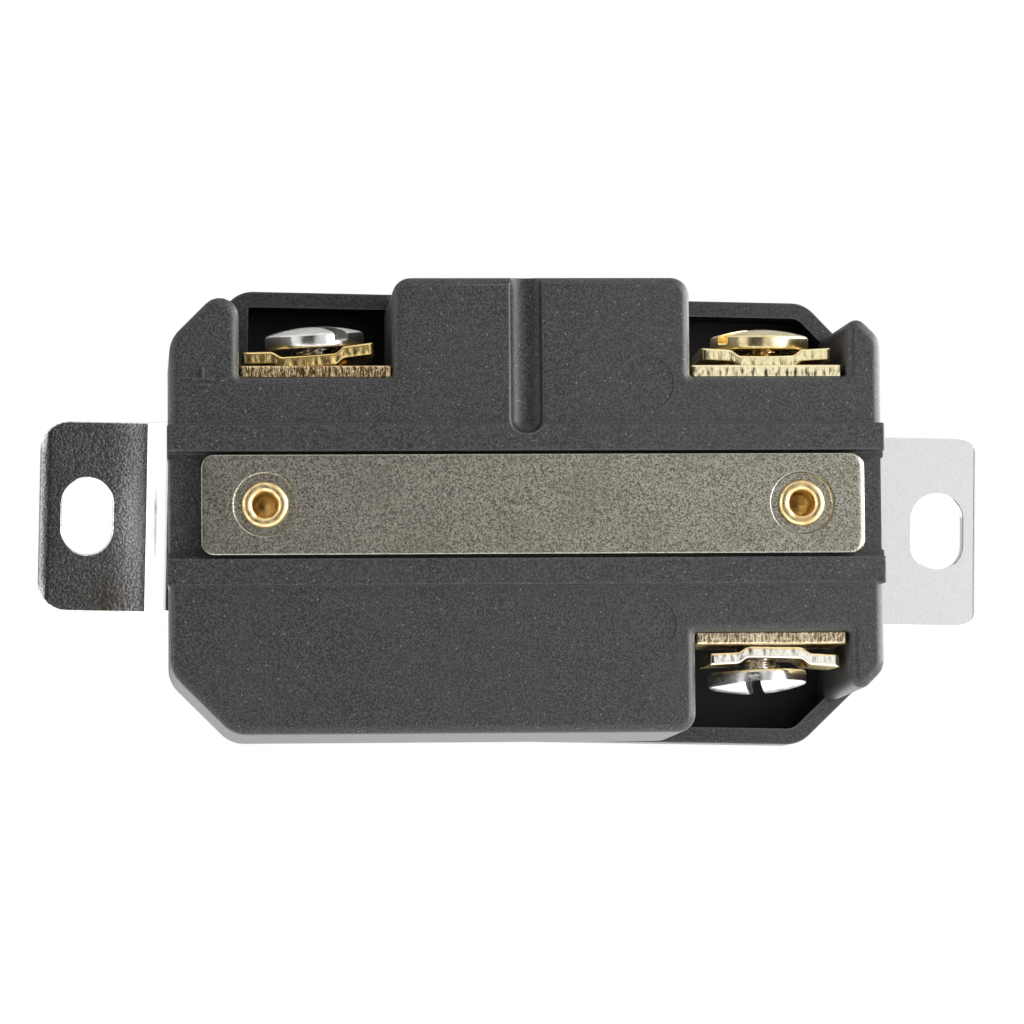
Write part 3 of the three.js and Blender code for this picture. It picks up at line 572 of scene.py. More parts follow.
def mounting_strap():
    """Drawn flat, pierced, then joggled so that the ears stand forward of the middle."""
    wide_x, wide_z = STRAP_WIDE
    quarter = [
        (STRAP_HALF_LENGTH, STRAP_HALF_WIDTH, 2.8),
        (wide_x, STRAP_HALF_WIDTH, 0.8),
        (wide_x, wide_z - STRAP_CHAMFER, 1.0),
        (wide_x - STRAP_CHAMFER, wide_z, 1.0),
    ]
    top = quarter + [(-a, b, r) for a, b, r in reversed(quarter)]
    points = top + [(-a, -b, r) for a, b, r in top]
    half = STRAP_THICKNESS / 2
    made = prism("mounting_strap", corners_of(points), levels(-half, half, 0.12, 0.22))

    # Punched holes have a slightly drawn-in lip on the rear side.
    lips = [(-half - 0.1, -0.22, 0), (-half, -0.14, 0), (-half + 0.06, -0.05, 0), (-half + 0.18, 0, 0)]
    lips.append((half + 1, 0, 0))
    width, length = SLOT_SIZE
    for x in (-SLOT_X, SLOT_X):
        oval = rectangle(x - width / 2, x + width / 2, -length / 2, length / 2, width / 2 - 0.01)
        combine(made, [prism("slot", oval, lips, steps=16)])
    through = (-half - 1, half + 1)
    combine(made, [drill(STRAP_WINDOW, *through, steps=96)])
    combine(made, bores(RIVET_HOLE, *through, REAR))
    combine(made, [drill(PIN_HOLE, *through, LINK["rivet_x"], LINK["rivet_z"])])

    # Extra edge loops for the bends, the left ear's dip and the curled ends.
    roll = STRAP_HALF_LENGTH - END_ROLL
    loops = [JOGGLE[0] + (JOGGLE[1] - JOGGLE[0]) * i / 14 for i in range(15)]
    loops += [roll + END_STEP * i for i in range(8)]
    loops += [DIP["near"] + (DIP["far"] - DIP["near"]) * i / 12 for i in range(1, 13)]
    work = bmesh.new()
    work.from_mesh(made.data)
    cut_loops(work, (1, 0, 0), [side * x for x in loops for side in (-1, 1)])
    cut_loops(work, (0, 0, 1), range(-8, 9, 2))

    # Every point moves forward by the dip, the rear ones by the curl as well, and then all follow the bend.
    run, rise = JOGGLE[1] - JOGGLE[0], EAR_MIDDLE - STRAP_MIDDLE
    for vert in work.verts:
        x, y, z = vert.co / MM
        y += ear_dip(x, z)
        if y < 0:
            y += END_DROP * max((abs(x) - roll) / END_ROLL, 0) ** 1.3
        share = min(max((abs(x) - JOGGLE[0]) / run, 0), 1)
        slope = math.copysign(6 * share * (1 - share) * rise / run, x)
        normal = Vector((-slope, 1)).normalized()
        middle = STRAP_MIDDLE + rise * share * share * (3 - 2 * share)
        vert.co = Vector((x + normal.x * y, middle + normal.y * y, z)) * MM
    work.to_mesh(made.data)
    work.free()
    return shade(made)


def tie_bar():
    """A blanked steel bar with soft edges. Its right end is rolled over where the shear dragged it."""
    half_x, half_z = BAR_HALF
    points = [(-half_x, -half_z), (half_x, -half_z), (half_x, half_z), (-half_x, half_z)]
    corners = [(BAR_X + a, b, 1.2, i == 1) for i, (a, b) in enumerate(points)]
    edge, roll = 0.22, (0.75, 0.6)
    stations = [(CHANNEL_FLOOR - 0.05, 0.08, 0), (CHANNEL_FLOOR - 0.13, 0, 0)]
    for k in range(9):
        y = BAR_BACK + roll[1] * (1 - k / 8)
        deep = max(edge - (y - BAR_BACK), 0)
        inset = edge - math.sqrt(max(edge * edge - deep * deep, 0))
        share = k / 8
        stations.append((y, inset, (roll[0] - edge) * (1 - math.sqrt(1 - share * share))))
    made = prism("tie_bar", corners, stations)
    radius, deep = RIVET_RECESS
    floor = BAR_BACK + deep
    recess = [(0, BAR_BACK - 1), (radius + 0.2, BAR_BACK - 1), (radius + 0.2, BAR_BACK)]
    recess += [(radius + 0.06, BAR_BACK + 0.06), (radius, BAR_BACK + 0.2), (radius, floor - 0.1)]
    recess += [(radius - 0.1, floor), (RIVET_HOLE, floor)]
    recess += [(RIVET_HOLE, CHANNEL_FLOOR + 1), (0, CHANNEL_FLOOR + 1)]
    combine(made, [lathe("recess", recess, x, steps=72) for x in RIVET_X])
    made.data.transform(REAR)
    return shade(made)


# ---------- brass and screws ----------

def tie_rivet(x, seed):
    """A semi-tubular rivet: a domed head in front, and a hollow tail rolled over behind."""
    head, seat = FLANGE_FRONT + 0.05, BAR_BACK + RIVET_RECESS[1] - 0.05
    tail, bore, roll, shank, wide = seat - 0.6, 1.15, 2.15, 1.95, 2.75
    dome = [t * RAD for t in range(15, 91, 15)]
    profile = [(0, head + 1.0)] + [(wide * math.sin(t), head + 0.25 + 0.75 * math.cos(t)) for t in dome]
    profile += [(wide, head), (shank, head), (shank, seat), (roll, seat)]
    lip = (roll - bore) / 2
    profile += [(roll - lip + lip * a, tail + 0.42 + 0.42 * b) for a, b in arc((0, 0), 1, 0, -180, 12)]
    profile += [(bore, tail + 3.4), (bore * 0.7, tail + 3.7), (0, tail + 4.2)]
    made = lathe("tie_rivet", profile, x, steps=72)
    for vert in made.data.vertices:
        if vert.co.y < (seat - 0.05) * MM:
            spoke = Vector((vert.co.x - x * MM, 0, vert.co.z))
            wave = noise.noise(spoke.normalized() * 2.2 + Vector((seed, 0, 0)))
            vert.co += spoke * 0.03 * wave + Vector((0, 0.00005 * (1 + wave), 0))
    made.data.transform(REAR)
    return shade(made, 50)


def torn_section(x, y0, y1, z0, z1, tear):
    """A sheared strip's section in Y and Z. The edge at y0 rolls in above and tears towards the bottom."""
    roll, rows = 0.2, 8
    points = [(y1, z1 - 0.1), (y1 - 0.1, z1)]
    points += [(y0 + roll + a, z1 - roll + b) for a, b in arc((0, 0), roll, 90, 180, 4)]
    for k in range(1, rows):
        z = z1 - roll - (z1 - z0 - roll - 0.05) * k / rows
        rough = 0.5 + 0.5 * noise.noise(Vector((x * 2.6, z * 0.5, y0)))
        rough += 0.35 * noise.noise(Vector((x * 7.0, z * 2.0, y0)))
        points.append((y0 + tear * max(rough, 0) * (0.25 + 0.75 * k / rows), z))
    points += [(y0 + 0.06, z0), (y1 - 0.1, z0), (y1, z0 + 0.1)]
    return [(x, y, z) for y, z in points]


def sheared_strip(name, x0, x1, y0, y1, height, thickness, corner, tear=0.06, pitch=0.16):
    """A strip along X whose underside follows height(x). Its ends have corners of some radius."""
    count = round((x1 - x0) / pitch)
    rings = []
    for i in range(count + 1):
        x = x0 + (x1 - x0) * i / count
        end = corner - min(x - x0, x1 - x, corner)
        inset = corner - math.sqrt(max(corner * corner - end * end, 0.0004))
        z = height(x)
        rings.append(torn_section(x, y0 + inset, y1 - inset, z, z + thickness, tear))
    return loft(name, rings)


def to_terminal(terminal):
    """The matrix of a terminal's frame, in which +Z points out of its pocket."""
    turned_over = Matrix.Rotation(0 if terminal["side"] > 0 else math.pi, 4, "Y")
    return REAR @ Matrix.Translation((terminal["x"] * MM, 0, 0)) @ turned_over


def over_hole(terminal):
    """The matrix of the frame over a plate's threaded hole, in which +Z points out of the pocket."""
    hole = Vector((terminal["side"] * terminal["hole"], SCREW_Y, PLATE_OUTER))
    return to_terminal(terminal) @ Matrix.Translation(hole * MM)


def clip_place(terminal):
    """Where a terminal's clip stands, as X and Z in that terminal's frame."""
    turn = terminal["angle"] * RAD
    place = Vector((math.cos(turn), 0, math.sin(turn))) * BLADE_CIRCLE * MM
    local = to_terminal(terminal).inverted() @ place / MM
    return local.x, local.z


def terminal_plate(name):
    """The plate under a clamp, with the web that leads from it to the contact clip."""
    t = TERMINALS[name]
    side = t["side"]
    web_front = PLATE_WEB + PLATE_THICKNESS
    tear = 0.12 if name == "hot" else 0.07
    made = sheared_strip("plate", -PLATE_HALF_X, PLATE_HALF_X, PLATE_BACK, web_front, lambda x: PLATE_INNER,
                         PLATE_THICKNESS, 0.25, tear)
    top = PLATE_OUTER - 0.02
    if name == "ground":
        points = [(PLATE_HALF_X, top), (-PLATE_HALF_X, top), (-PLATE_HALF_X, 8)]
        points += [(-0.55, 8), (-0.55, -2), (1.8, -4.6), (10.9, -4.6), (10.9, 9.6), (PLATE_HALF_X, 9.6)]
    else:
        points = [(PLATE_HALF_X, top), (-10.4, top), (-10.4, 15.6), (-20.8, 15.6)]
        points += [(-20.8, 6.8), (-10.4, 6.8), (-10.4, 8.2), (PLATE_HALF_X, 8.2)]
        points = [(side * a, b) for a, b in points]
    web = prism("web", corners_of(points if side > 0 or name == "ground" else points[::-1], 0.3),
                levels(PLATE_WEB, web_front, 0.06, 0.06, steps=2), steps=3)
    combine(made, [web], "UNION")
    x, z = side * t["hole"], PLATE_INNER
    combine(made, [loft("hole", [[(x + a, SCREW_Y + b, h) for a, b, h in ring]
                                 for ring in turned_rings([(2.6, z - 1), (2.6, z + 3)], 40)])])
    clip_x, clip_z = clip_place(t)
    combine(made, [drill(PIN_HOLE, PLATE_WEB - 1, web_front + 1, clip_x, clip_z, 32)])
    made.data.transform(to_terminal(t))
    return shade(made)


def clamp_height(x):
    """The clamp's underside over X: flat under the screw, then wings that step up and flare a little."""
    flat, run, lift = 2.5, 0.8, 0.55
    share = min(max((abs(x) - flat + 0.15) / (run + 0.3), 0), 1)
    flare = max(abs(x) - flat - run, 0) / (CLAMP_HALF[0] - flat - run)
    return lift * share * share * (3 - 2 * share) + (CLAMP_TIP - lift) * flare


def clamp_plate(name):
    """Drawn about its screw's axis, then set over the threaded hole at the angle it was left at."""
    t = TERMINALS[name]
    half_x, half_y = CLAMP_HALF
    made = sheared_strip("clamp", -half_x, half_x, -half_y, half_y, clamp_height, PLATE_THICKNESS,
                         CLAMP_CORNER, 0.05)
    oblong = rectangle(-3.7, 3.7, -2.7, 2.7, 2.5)
    combine(made, [prism("hole", oblong, levels(-1, 4), "Z", 10)])
    lean = Matrix.Rotation(-t["clamp_lean"] * RAD, 4, "Y")
    shift = Matrix.Translation(Vector((t["side"] * t["clamp_shift"], 0, t["seat"])) * MM)
    made.matrix_world = over_hole(t) @ lean @ shift
    return shade(made)


def thread_rings(radius, deep, z0, z1, steps=64, per_turn=10):
    """Rings of a threaded shank about Z, rising from z0 to z1, with its tip chamfered."""
    count = round((z1 - z0) / THREAD_PITCH * per_turn)
    rings = []
    for i in range(count + 1):
        z = z0 + (z1 - z0) * i / count
        tip = max(0.45 - (z - z0), 0)
        ring = []
        for k in range(steps):
            phase = (z / THREAD_PITCH - k / steps) % 1
            crest = min(max(abs(2 * phase - 1) * 1.35 - 0.15, 0), 1)
            r = min(radius - deep * (1 - crest), radius - tip)
            turn = 2 * math.pi * k / steps
            ring.append((r * math.cos(turn), r * math.sin(turn), z))
        rings.append(ring)
    return rings


def terminal_screw(name):
    """A binding-head screw about Z with its seat at zero: domed, slotted head and a threaded shank."""
    t = TERMINALS[name]
    rim, top, slot_width, slot_floor = 1.4, 2.05, 1.4, 0.55
    profile = [(0.01, 0.0), (HEAD_RADIUS - 0.3, 0.0), (HEAD_RADIUS - 0.1, 0.08), (HEAD_RADIUS, 0.28)]
    profile += [(HEAD_RADIUS - 0.35 + 0.35 * a, rim - 0.35 + 0.35 * b) for a, b in arc((0, 0), 1, 0, 72, 7)]
    reach, shares = HEAD_RADIUS - 0.25, (0.93, 0.85, 0.75, 0.62, 0.48, 0.32, 0.16, 0.001)
    profile += [(reach * s, rim + (top - rim) * (1 - s * s)) for s in shares]
    made = loft("screw", turned_rings(profile, 96))
    lip, half = 0.1, slot_width / 2
    section = [(-half, slot_floor + 0.15), (-half + 0.15, slot_floor), (half - 0.15, slot_floor)]
    section += [(half, slot_floor + 0.15), (half, top + 1), (-half, top + 1)]
    driver = loft("driver", [[(x, a, b) for a, b in section] for x in (-HEAD_RADIUS - 1, HEAD_RADIUS + 1)])
    driver.data.transform(Matrix.Rotation(t["slot_turn"] * RAD, 4, "Z"))
    combine(made, [driver])
    bevel = made.modifiers.new("lips", "BEVEL")
    bevel.width = lip * MM
    bevel.segments = 3
    bevel.limit_method = "ANGLE"
    bevel.angle_limit = 38 * RAD
    apply_modifiers(made)
    shank = loft("shank", thread_rings(2.2, 0.42, -8.5, 0.3))
    combine(made, [shank], "UNION")
    turn = Matrix.Rotation(t["tilt"] * RAD, 4, "X") @ Matrix.Rotation(-t["lean"] * RAD, 4, "Y")
    height = t["seat"] + CLAMP_TIP + PLATE_THICKNESS + t["backed_out"]
    made.matrix_world = over_hole(t) @ turn @ Matrix.Translation((0, 0, height * MM))
    return shade(made, 38)


def contact_clip(name):
    """A double-leaf spring clip in sheet brass: two leaves that pinch near the mouth, on a riveted base."""
    c = CLIP
    thick, base = c["thickness"], c["base"]
    inside = [(c["base_half"], base + thick, 0.3), (c["base_half"], base + 3, 1.2)]
    inside += [(c["pinch_half"], c["pinch"], 1.2), (c["mouth_half"], c["mouth"], 0.1)]
    outside = [(u + thick, y, r + 0.6) for u, y, r in inside]
    outside[0] = (c["base_half"] + thick, base, 0.9)
    outside[-1] = (c["mouth_half"] + thick, c["mouth"], 0.1)
    right = outside + inside[::-1]
    left = [(-u, y, r) for u, y, r in right[::-1]]
    half = c["width"] / 2
    made = prism("clip", corners_of(right + left), levels(-half, half, 0.1, 0.1, steps=2), "Z", 5)
    combine(made, [drill(PIN_HOLE, base - 1, base + 1, steps=32)])
    made.data.transform(Matrix.Rotation(-TERMINALS[name]["angle"] * RAD, 4, "Y")
                        @ Matrix.Translation((BLADE_CIRCLE * MM, 0, 0)))
    return shade(made)


def headed_pin(front, rear, x, z, both=True, extra=0.0):
    """A rivet along Y from front to rear, headed at the rear and, if both, in front as well."""
    shank, head, tall = PIN["shank"], PIN["head"], PIN["height"]
    dome = [(math.cos(t * RAD), math.sin(t * RAD)) for t in (0, 20, 40, 60, 80)]
    profile = [(0, front)]
    if both:
        profile = [(0, front + tall)] + [(head * a, front + tall * b) for a, b in reversed(dome)]
    profile += [(shank, front), (shank, rear)]
    profile += [((head + extra) * a, rear - tall * b) for a, b in dome] + [(0, rear - tall)]
    return shade(lathe("pin", profile, x, z, 40), 50)


def contact_rivet(name):
    """Fixes a contact clip to its plate's web."""
    turn = TERMINALS[name]["angle"] * RAD
    front = CLIP["base"] + CLIP["thickness"] + 0.05
    return headed_pin(front, PLATE_WEB - 0.05, BLADE_CIRCLE * math.cos(turn), BLADE_CIRCLE * math.sin(turn))


def ground_link():
    """A bent strip that earths the strap: a leg on the ground web and a foot against the strap's back."""
    x, thick, foot_x = LINK["x"], LINK["thickness"], LINK["foot_x"]
    foot, end = STRAP_REAR - 0.05, PLATE_WEB + PLATE_THICKNESS + 0.05
    points = [(x, end, 0), (x, foot, 0.9), (foot_x, foot, 0.1), (foot_x, foot - thick, 0.1),
              (x - thick, foot - thick, 0.2), (x - thick, end, 0)]
    made = prism("link", corners_of(points), levels(LINK["low"], LINK["high"], 0.08, 0.08, steps=2), "Z", 5)
    combine(made, [drill(PIN_HOLE, foot - 2, foot + 1, LINK["rivet_x"], LINK["rivet_z"], 32)])
    return shade(made)


def ground_link_rivet():
    """Fixes the ground link's foot to the strap."""
    rear = STRAP_REAR - 0.1 - LINK["thickness"]
    return headed_pin(STRAP_MIDDLE + STRAP_THICKNESS / 2, rear, LINK["rivet_x"], LINK["rivet_z"], False, 0.3)


# ---------- materials ----------

class Nodes:
    """Shader nodes, added to a tree one call at a time."""

    def __init__(self, tree):
        self.tree = tree

    def add(self, kind, inputs, output=0, **settings):
        """A node with its inputs wired up, as the socket of one of its outputs."""
        made = self.tree.nodes.new("ShaderNode" + kind)
        for key, value in settings.items():
            setattr(made, key, value)
        for key, value in inputs.items():
            self.wire(value, made.inputs[key])
        return made.outputs[output]

    def wire(self, value, socket):
        if isinstance(value, bpy.types.NodeSocket):
            self.tree.links.new(value, socket)
        else:
            socket.default_value = value

    def band(self, value, low, high, to_low=0.0, to_high=1.0):
        """value eased from low..high to to_low..to_high."""
        inputs = {0: value, 1: low, 2: high, 3: to_low, 4: to_high}
        return self.add("MapRange", inputs, interpolation_type="SMOOTHSTEP")

    def maths(self, operation, a, b=0.0):
        return self.add("Math", {0: a, 1: b}, operation=operation)

    def product(self, *factors):
        made = factors[0]
        for factor in factors[1:]:
            made = self.maths("MULTIPLY", made, factor)
        return made


class Finish(Nodes):
    """A procedural material in the making. Its textures are sized in millimetres."""

    def __init__(self, name, metallic):
        self.material = bpy.data.materials.new(name)
        self.material.use_nodes = True
        super().__init__(self.material.node_tree)
        self.shader = self.tree.nodes["Principled BSDF"]
        self.shader.inputs["Metallic"].default_value = metallic
        self.place = self.add("TexCoord", {}, "Object")
        self.normal = None

    def scaled(self, size, stretch=(1, 1, 1)):
        """Places measured in steps of size millimetres, longer along the stretched axes."""
        return self.add("Mapping", {"Vector": self.place, "Scale": [1 / (MM * size * s) for s in stretch]})

    def noise(self, size, detail=2.0, stretch=(1, 1, 1)):
        return self.add("TexNoise", {"Vector": self.scaled(size, stretch), "Scale": 1.0, "Detail": detail})

    def specks(self, size):
        return self.add("TexVoronoi", {"Vector": self.scaled(size), "Scale": 1.0}, "Distance")

    def mix(self, share, a, b):
        """A blend of two colours, each a socket or an (r, g, b)."""
        colours = [c if isinstance(c, bpy.types.NodeSocket) else (*c, 1) for c in (a, b)]
        return self.add("Mix", {0: share, 6: colours[0], 7: colours[1]}, 2, data_type="RGBA")

    def edges(self, radius, low=0.02, high=0.3):
        """A mask of real edges: where the rounded normal differs from the true one."""
        soft = self.add("Bevel", {"Radius": radius * MM}, samples=6)
        true = self.add("NewGeometry", {}, "Normal")
        same = self.add("VectorMath", {0: soft, 1: true}, "Value", operation="DOT_PRODUCT")
        return self.band(self.maths("SUBTRACT", 1.0, same), low, high)

    def facing(self, axis):
        """How squarely the surface faces along one of the object's axes, either way."""
        normal = self.add("TexCoord", {}, "Normal")
        part = self.add("SeparateXYZ", {0: normal}, axis)
        return self.maths("ABSOLUTE", part)

    def bump(self, height, deep):
        """Adds relief of some depth in millimetres."""
        inputs = {"Height": height, "Distance": deep * MM, "Strength": 1.0}
        if self.normal:
            inputs["Normal"] = self.normal
        self.normal = self.add("Bump", inputs)

    def done(self, colour, roughness, **others):
        self.wire(colour, self.shader.inputs["Base Color"])
        self.wire(roughness, self.shader.inputs["Roughness"])
        if self.normal:
            self.wire(self.normal, self.shader.inputs["Normal"])
        for key, value in others.items():
            self.wire(value, self.shader.inputs[key.replace("_", " ")])
        return self.material


def nylon():
    """Dark grey filled nylon: fine light grain, faint flow marks, a little dust, a painted highlight on its
    edges and painted shade on the pockets' floors.
    """
    f = Finish("nylon", 0.0)
    grain = f.noise(0.16, 5.0)
    flow = f.noise(7.0, 3.0, (1, 1, 1.6))
    colour = f.mix(f.band(grain, 0.38, 0.64), (0.008, 0.008, 0.008), (0.046, 0.046, 0.046))
    colour = f.mix(f.band(flow, 0.3, 0.7, 0.0, 0.25), colour, (0.035, 0.035, 0.035))
    colour = f.mix(f.band(f.specks(0.8), 0.06, 0.12, 0.6, 0.0), colour, (0.2, 0.2, 0.2))
    # Painted highlight: the edges are made paler where their rounding would catch the light.
    edge = f.edges(0.5)
    colour = f.mix(f.product(edge, 0.6), colour, (0.1, 0.1, 0.1))
    along, depth = (f.add("SeparateXYZ", {0: f.place}, axis) for axis in "XY")
    # Painted shade: floors facing along Y between these depths are darkened and given less shine.
    (rear, whole), (fade, front) = FLOOR_SHADE
    floor = f.product(f.band(f.facing("Y"), 0.7, 0.9), f.band(depth, rear * MM, whole * MM),
                      f.band(depth, fade * MM, front * MM, 1.0, 0.0))
    shine = f.product(f.band(along, -SHINE_REACH * MM, SHINE_REACH * MM, 0.36, 0.52),
                      f.band(floor, 0.0, 1.0, 1.0, 0.6))
    colour = f.mix(floor, colour, (0.010, 0.010, 0.010))
    f.bump(grain, 0.014)
    f.bump(f.noise(1.4, 2.0), 0.005)
    return f.done(colour, 0.45, Specular_IOR_Level=shine)


def zinc():
    """Bright zinc plate, its left ear dulled and speckled, with a rust tint and darker cut edges."""
    f = Finish("zinc", 1.0)
    grain = f.noise(0.24, 3.0)
    along = f.add("SeparateXYZ", {0: f.place}, "X")
    left = f.band(along, *(a * MM for a in DULL_LEFT), 1.0, 0.12)
    speckle = f.product(f.band(grain, 0.36, 0.64, 1.0, 0.0), left)
    colour = f.mix(speckle, (0.80, 0.80, 0.79), (0.5, 0.5, 0.49))
    rust = f.product(f.edges(0.3), f.band(f.noise(2.4, 4.0), 0.5, 0.65), 0.6)
    spot = f.add("VectorMath", {0: f.place, 1: [a * MM for a in RUST_SPOT]}, "Value", operation="DISTANCE")
    worn = f.product(f.band(spot, 0.4 * MM, 2.8 * MM, 1.0, 0.0), f.band(f.noise(0.5, 4.0), 0.35, 0.6), 0.6)
    colour = f.mix(f.maths("MAXIMUM", rust, worn), colour, (0.50, 0.30, 0.15))
    colour = f.mix(f.product(f.edges(0.16, 0.06, 0.4), 0.8), colour, (0.2, 0.19, 0.18))
    cut = f.band(along, -STRAP_HALF_LENGTH * MM, (CUT_END - STRAP_HALF_LENGTH) * MM, 1.0, 0.0)
    colour = f.mix(cut, colour, (0.05, 0.05, 0.05))
    f.bump(f.product(grain, f.band(left, 0.0, 1.0, 0.3, 1.0)), 0.0125)
    return f.done(colour, 0.16)


def nickel():
    """Dull nickel over steel: warm grey, pitted and speckled, with a painted highlight on its edges."""
    f = Finish("nickel", 1.0)
    pits = f.noise(0.13, 4.0)
    cloud = f.noise(5.0, 4.0)
    colour = f.mix(f.band(pits, 0.33, 0.67), (0.15, 0.14, 0.11), (0.62, 0.595, 0.50))
    colour = f.mix(f.band(cloud, 0.4, 0.7, 0.0, 0.3), colour, (0.27, 0.25, 0.20))
    # Painted highlight: the edges are made bright and less rough, where their bevel would catch the light.
    edge = f.edges(0.25)
    colour = f.mix(edge, colour, (0.95, 0.93, 0.88))
    f.bump(pits, 0.006)
    return f.done(colour, f.mix(edge, (0.29, 0.29, 0.29), (0.16, 0.16, 0.16)))


def cut_brass(name, face, cut, coarse):
    """Sheet brass with a smooth face. Its sheared edges have score lines and speckle, as coarse as asked."""
    f = Finish(name, 1.0)
    score = f.noise(0.13, 3.0, (1, 1, 7))
    speckle = f.noise(0.3, 4.0)
    sheared = f.band(f.facing("Y"), 0.6, 0.85)
    dark = [c * k for c, k in zip(cut, (0.24, 0.17, 0.09))]
    rough = f.maths("ADD", f.product(score, 0.6), f.product(speckle, 0.4))
    torn = f.mix(f.band(rough, 0.42, 0.42 + 0.12 * coarse + 0.03, coarse, 0.0), cut, dark)
    smooth = f.mix(f.band(f.noise(2.2, 3.0), 0.35, 0.7, 0.0, 0.5), face, [c * 0.75 for c in face])
    f.bump(f.product(score, sheared), 0.02 * coarse + 0.004)
    f.bump(f.product(speckle, sheared), 0.03 * coarse + 0.002)
    return f.done(f.mix(sheared, smooth, torn), f.band(sheared, 0.0, 1.0, 0.26, 0.17))


def rivet_brass():
    """Drawn brass, dulled and finely scratched, with darker stain in its hollows."""
    f = Finish("rivet_brass", 1.0)
    stain = f.noise(0.8, 4.0)
    colour = f.mix(f.band(stain, 0.38, 0.66), (0.88, 0.70, 0.38), (0.62, 0.44, 0.2))
    f.bump(f.noise(0.15, 3.0), 0.008)
    return f.done(colour, f.band(stain, 0.3, 0.7, 0.24, 0.4))


def screw_metal(name, bright, dull):
    """Plated screw: fine turning marks about its axis and small handling dents."""
    f = Finish(name, 1.0)
    marks = f.add("TexWave", {"Vector": f.scaled(1.0), "Scale": 2.2, "Distortion": 1.2, "Detail": 3.0},
                  "Fac", wave_type="RINGS", rings_direction="Z")
    dents = f.noise(0.7, 4.0)
    colour = f.mix(f.band(dents, 0.35, 0.7), bright, dull)
    f.bump(marks, 0.004)
    f.bump(dents, 0.012)
    return f.done(colour, f.band(f.noise(1.6, 3.0), 0.3, 0.7, 0.16, 0.3))


# ---------- the object ----------

def build_device():
    """Every piece of the receptacle, on the body that it moves with."""
    grey = nylon()
    for build in (rear_housing, front_housing, face_cover):
        settle(build(), build.__name__, grey)
    settle(mounting_strap(), "mounting_strap", zinc())
    settle(tie_bar(), "tie_bar", nickel())
    dull_brass = rivet_brass()
    for i, side in enumerate(("left", "right")):
        settle(tie_rivet(RIVET_X[i], i * 5), "tie_rivet_" + side, dull_brass)

    inner_brass = cut_brass("inner_brass", (0.74, 0.56, 0.28), (0.60, 0.44, 0.2), 0.5)
    plates = {
        "ground": cut_brass("plate_brass_rough", (0.74, 0.56, 0.28), (0.98, 0.76, 0.46), 1.0),
        "hot": cut_brass("plate_brass_pale", (0.80, 0.62, 0.32), (1.0, 0.89, 0.57), 0.05),
        "neutral": cut_brass("plate_brass_coarse", (0.74, 0.56, 0.28), (1.0, 0.86, 0.60), 0.8),
    }
    clamps = {
        "ground": cut_brass("clamp_brass_deep", (0.80, 0.55, 0.2), (1.0, 0.74, 0.30), 0.06),
        "hot": cut_brass("clamp_brass_pale", (0.86, 0.66, 0.3), (1.0, 0.89, 0.53), 0.1),
        "neutral": cut_brass("clamp_brass_bright", (0.84, 0.66, 0.34), (1.0, 0.97, 0.88), 0.04),
    }
    nickel_screw = screw_metal("screw_nickel", (0.80, 0.79, 0.77), (0.66, 0.65, 0.63))
    brass_screw = screw_metal("screw_brass", (0.86, 0.74, 0.44), (0.74, 0.60, 0.32))
    for name in TERMINALS:
        settle(terminal_plate(name), "terminal_plate_" + name, plates[name])
        settle(contact_clip(name), "contact_clip_" + name, inner_brass)
        settle(contact_rivet(name), "contact_rivet_" + name, inner_brass)
        settle(clamp_plate(name), "clamp_plate_" + name, clamps[name], name + "_clamp")
        metal, slot = (brass_screw, "screw_brass") if name == "hot" else (nickel_screw, "screw_nickel")
        settle(terminal_screw(name), "terminal_screw_" + name, metal, name + "_screw")
    settle(ground_link(), "ground_link", inner_brass)
    settle(ground_link_rivet(), "ground_link_rivet", inner_brass)


# ---------- the studio ----------

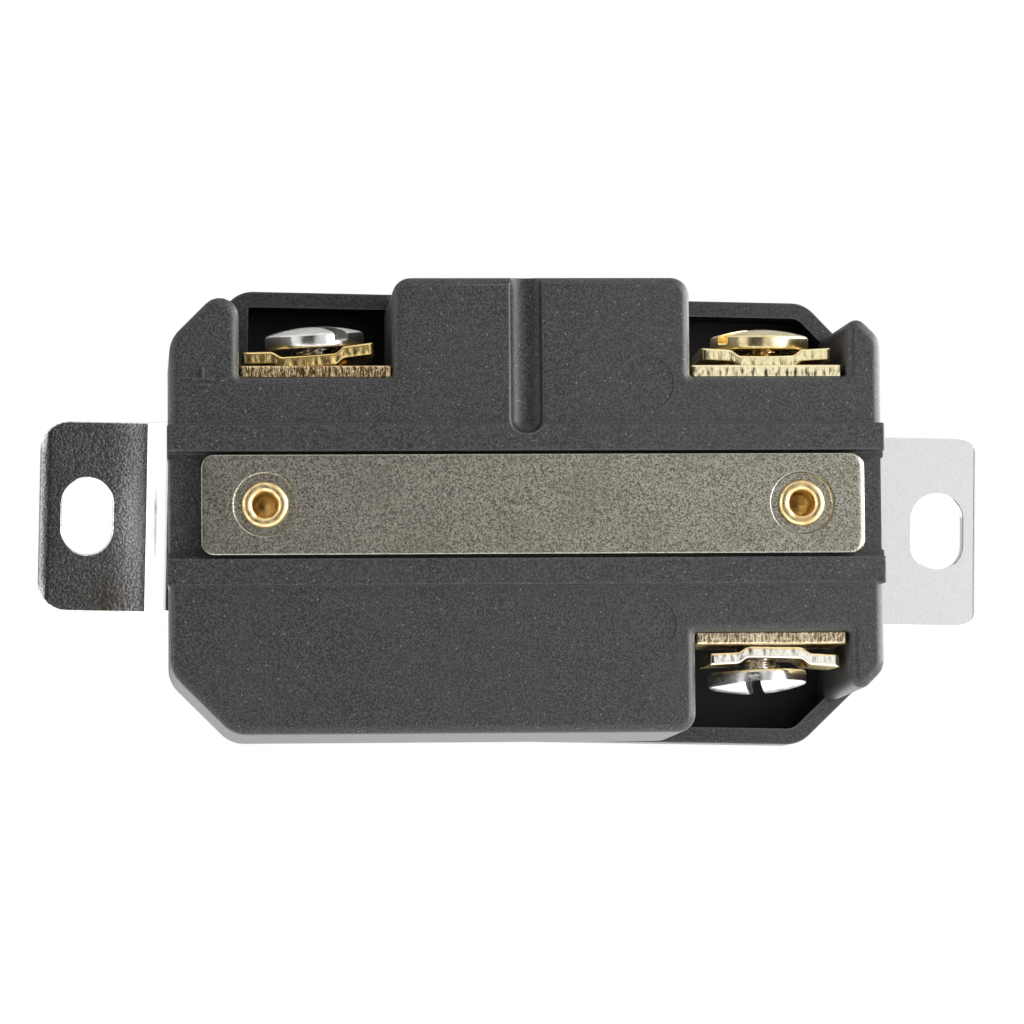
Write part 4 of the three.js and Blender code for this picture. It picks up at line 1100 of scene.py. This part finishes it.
def build_tent():
    """A white tent with a brighter panel on either side, and a dark and a grey card beside the camera."""
    world = bpy.data.worlds.new("tent")
    bpy.context.scene.world = world
    world.use_nodes = True
    n = Nodes(world.node_tree)
    direction = n.add("TexCoord", {}, "Generated")
    x, y, z = (n.add("SeparateXYZ", {0: direction}, axis) for axis in "XYZ")
    azimuth = n.maths("ARCTAN2", x, n.product(y, -1.0))
    height = n.maths("ABSOLUTE", z)
    low = n.band(height, *CARD_HEIGHT, 1.0, 0.0)
    cards = [n.product(n.band(azimuth, a * RAD, b * RAD), n.band(azimuth, c * RAD, d * RAD, 1.0, 0.0), low)
             for a, b, c, d in CARDS]
    tent = n.band(cards[0], 0.0, 1.0, TENT_LIGHT, CARD_LIGHT)
    tent = n.product(tent, n.band(cards[1], 0.0, 1.0, 1.0, CARD_SHARE), n.band(y, *FAR_SIDE, 1.0, FAR_SHARE))
    sides = n.maths("ADD", n.band(x, *RIGHT_SIDE, 0.0, RIGHT_PANEL),
                    n.band(n.product(x, -1.0), *LEFT_SIDE, 0.0, LEFT_PANEL))
    panels = n.product(sides, n.band(height, *PANEL_HEIGHT, 1.0, 0.0))
    tent = n.maths("ADD", tent, panels)
    seen = n.add("LightPath", {}, "Is Camera Ray")
    background = world.node_tree.nodes["Background"]
    n.wire(n.add("Mix", {0: seen, 2: tent, 3: 1.0}, 0, data_type="FLOAT"), background.inputs["Strength"])
    n.wire((1, 1, 1, 1), background.inputs["Color"])


def build_floor():
    """A white table top, which ends between the object and the camera."""
    reach, front, drop = 4000.0, -180.0, -72.0
    corners = [(-reach, front), (reach, front), (reach, reach), (-reach, reach)]
    floor = make("floor", [(x, y, drop) for x, y in corners], [(0, 1, 2, 3)])
    f = Finish("floor", 0.0)
    colour = f.mix(f.noise(40.0), (0.93, 0.93, 0.93), (0.96, 0.96, 0.96))
    floor.data.materials.append(f.done(colour, 0.8, Emission_Color=(1, 1, 1, 1), Emission_Strength=0.3))


def build_camera():
    """A long lens, a little to the left of the back and below it."""
    data = bpy.data.cameras.new("camera")
    data.lens = LENS
    data.clip_start, data.clip_end = 0.01, 20
    camera = bpy.data.objects.new("camera", data)
    place, target = Vector(CAMERA_PLACE) * MM, Vector(CAMERA_TARGET) * MM
    camera.location = place
    aim = (target - place).to_track_quat("-Z", "Y")
    camera.rotation_mode = "QUATERNION"
    camera.rotation_quaternion = aim @ Matrix.Rotation(CAMERA_ROLL * RAD, 3, "Z").to_quaternion()
    bpy.context.scene.collection.objects.link(camera)
    bpy.context.scene.camera = camera


build_device()
build_tent()
build_floor()
build_camera()
bpy.context.scene.view_settings.view_transform = "Standard"
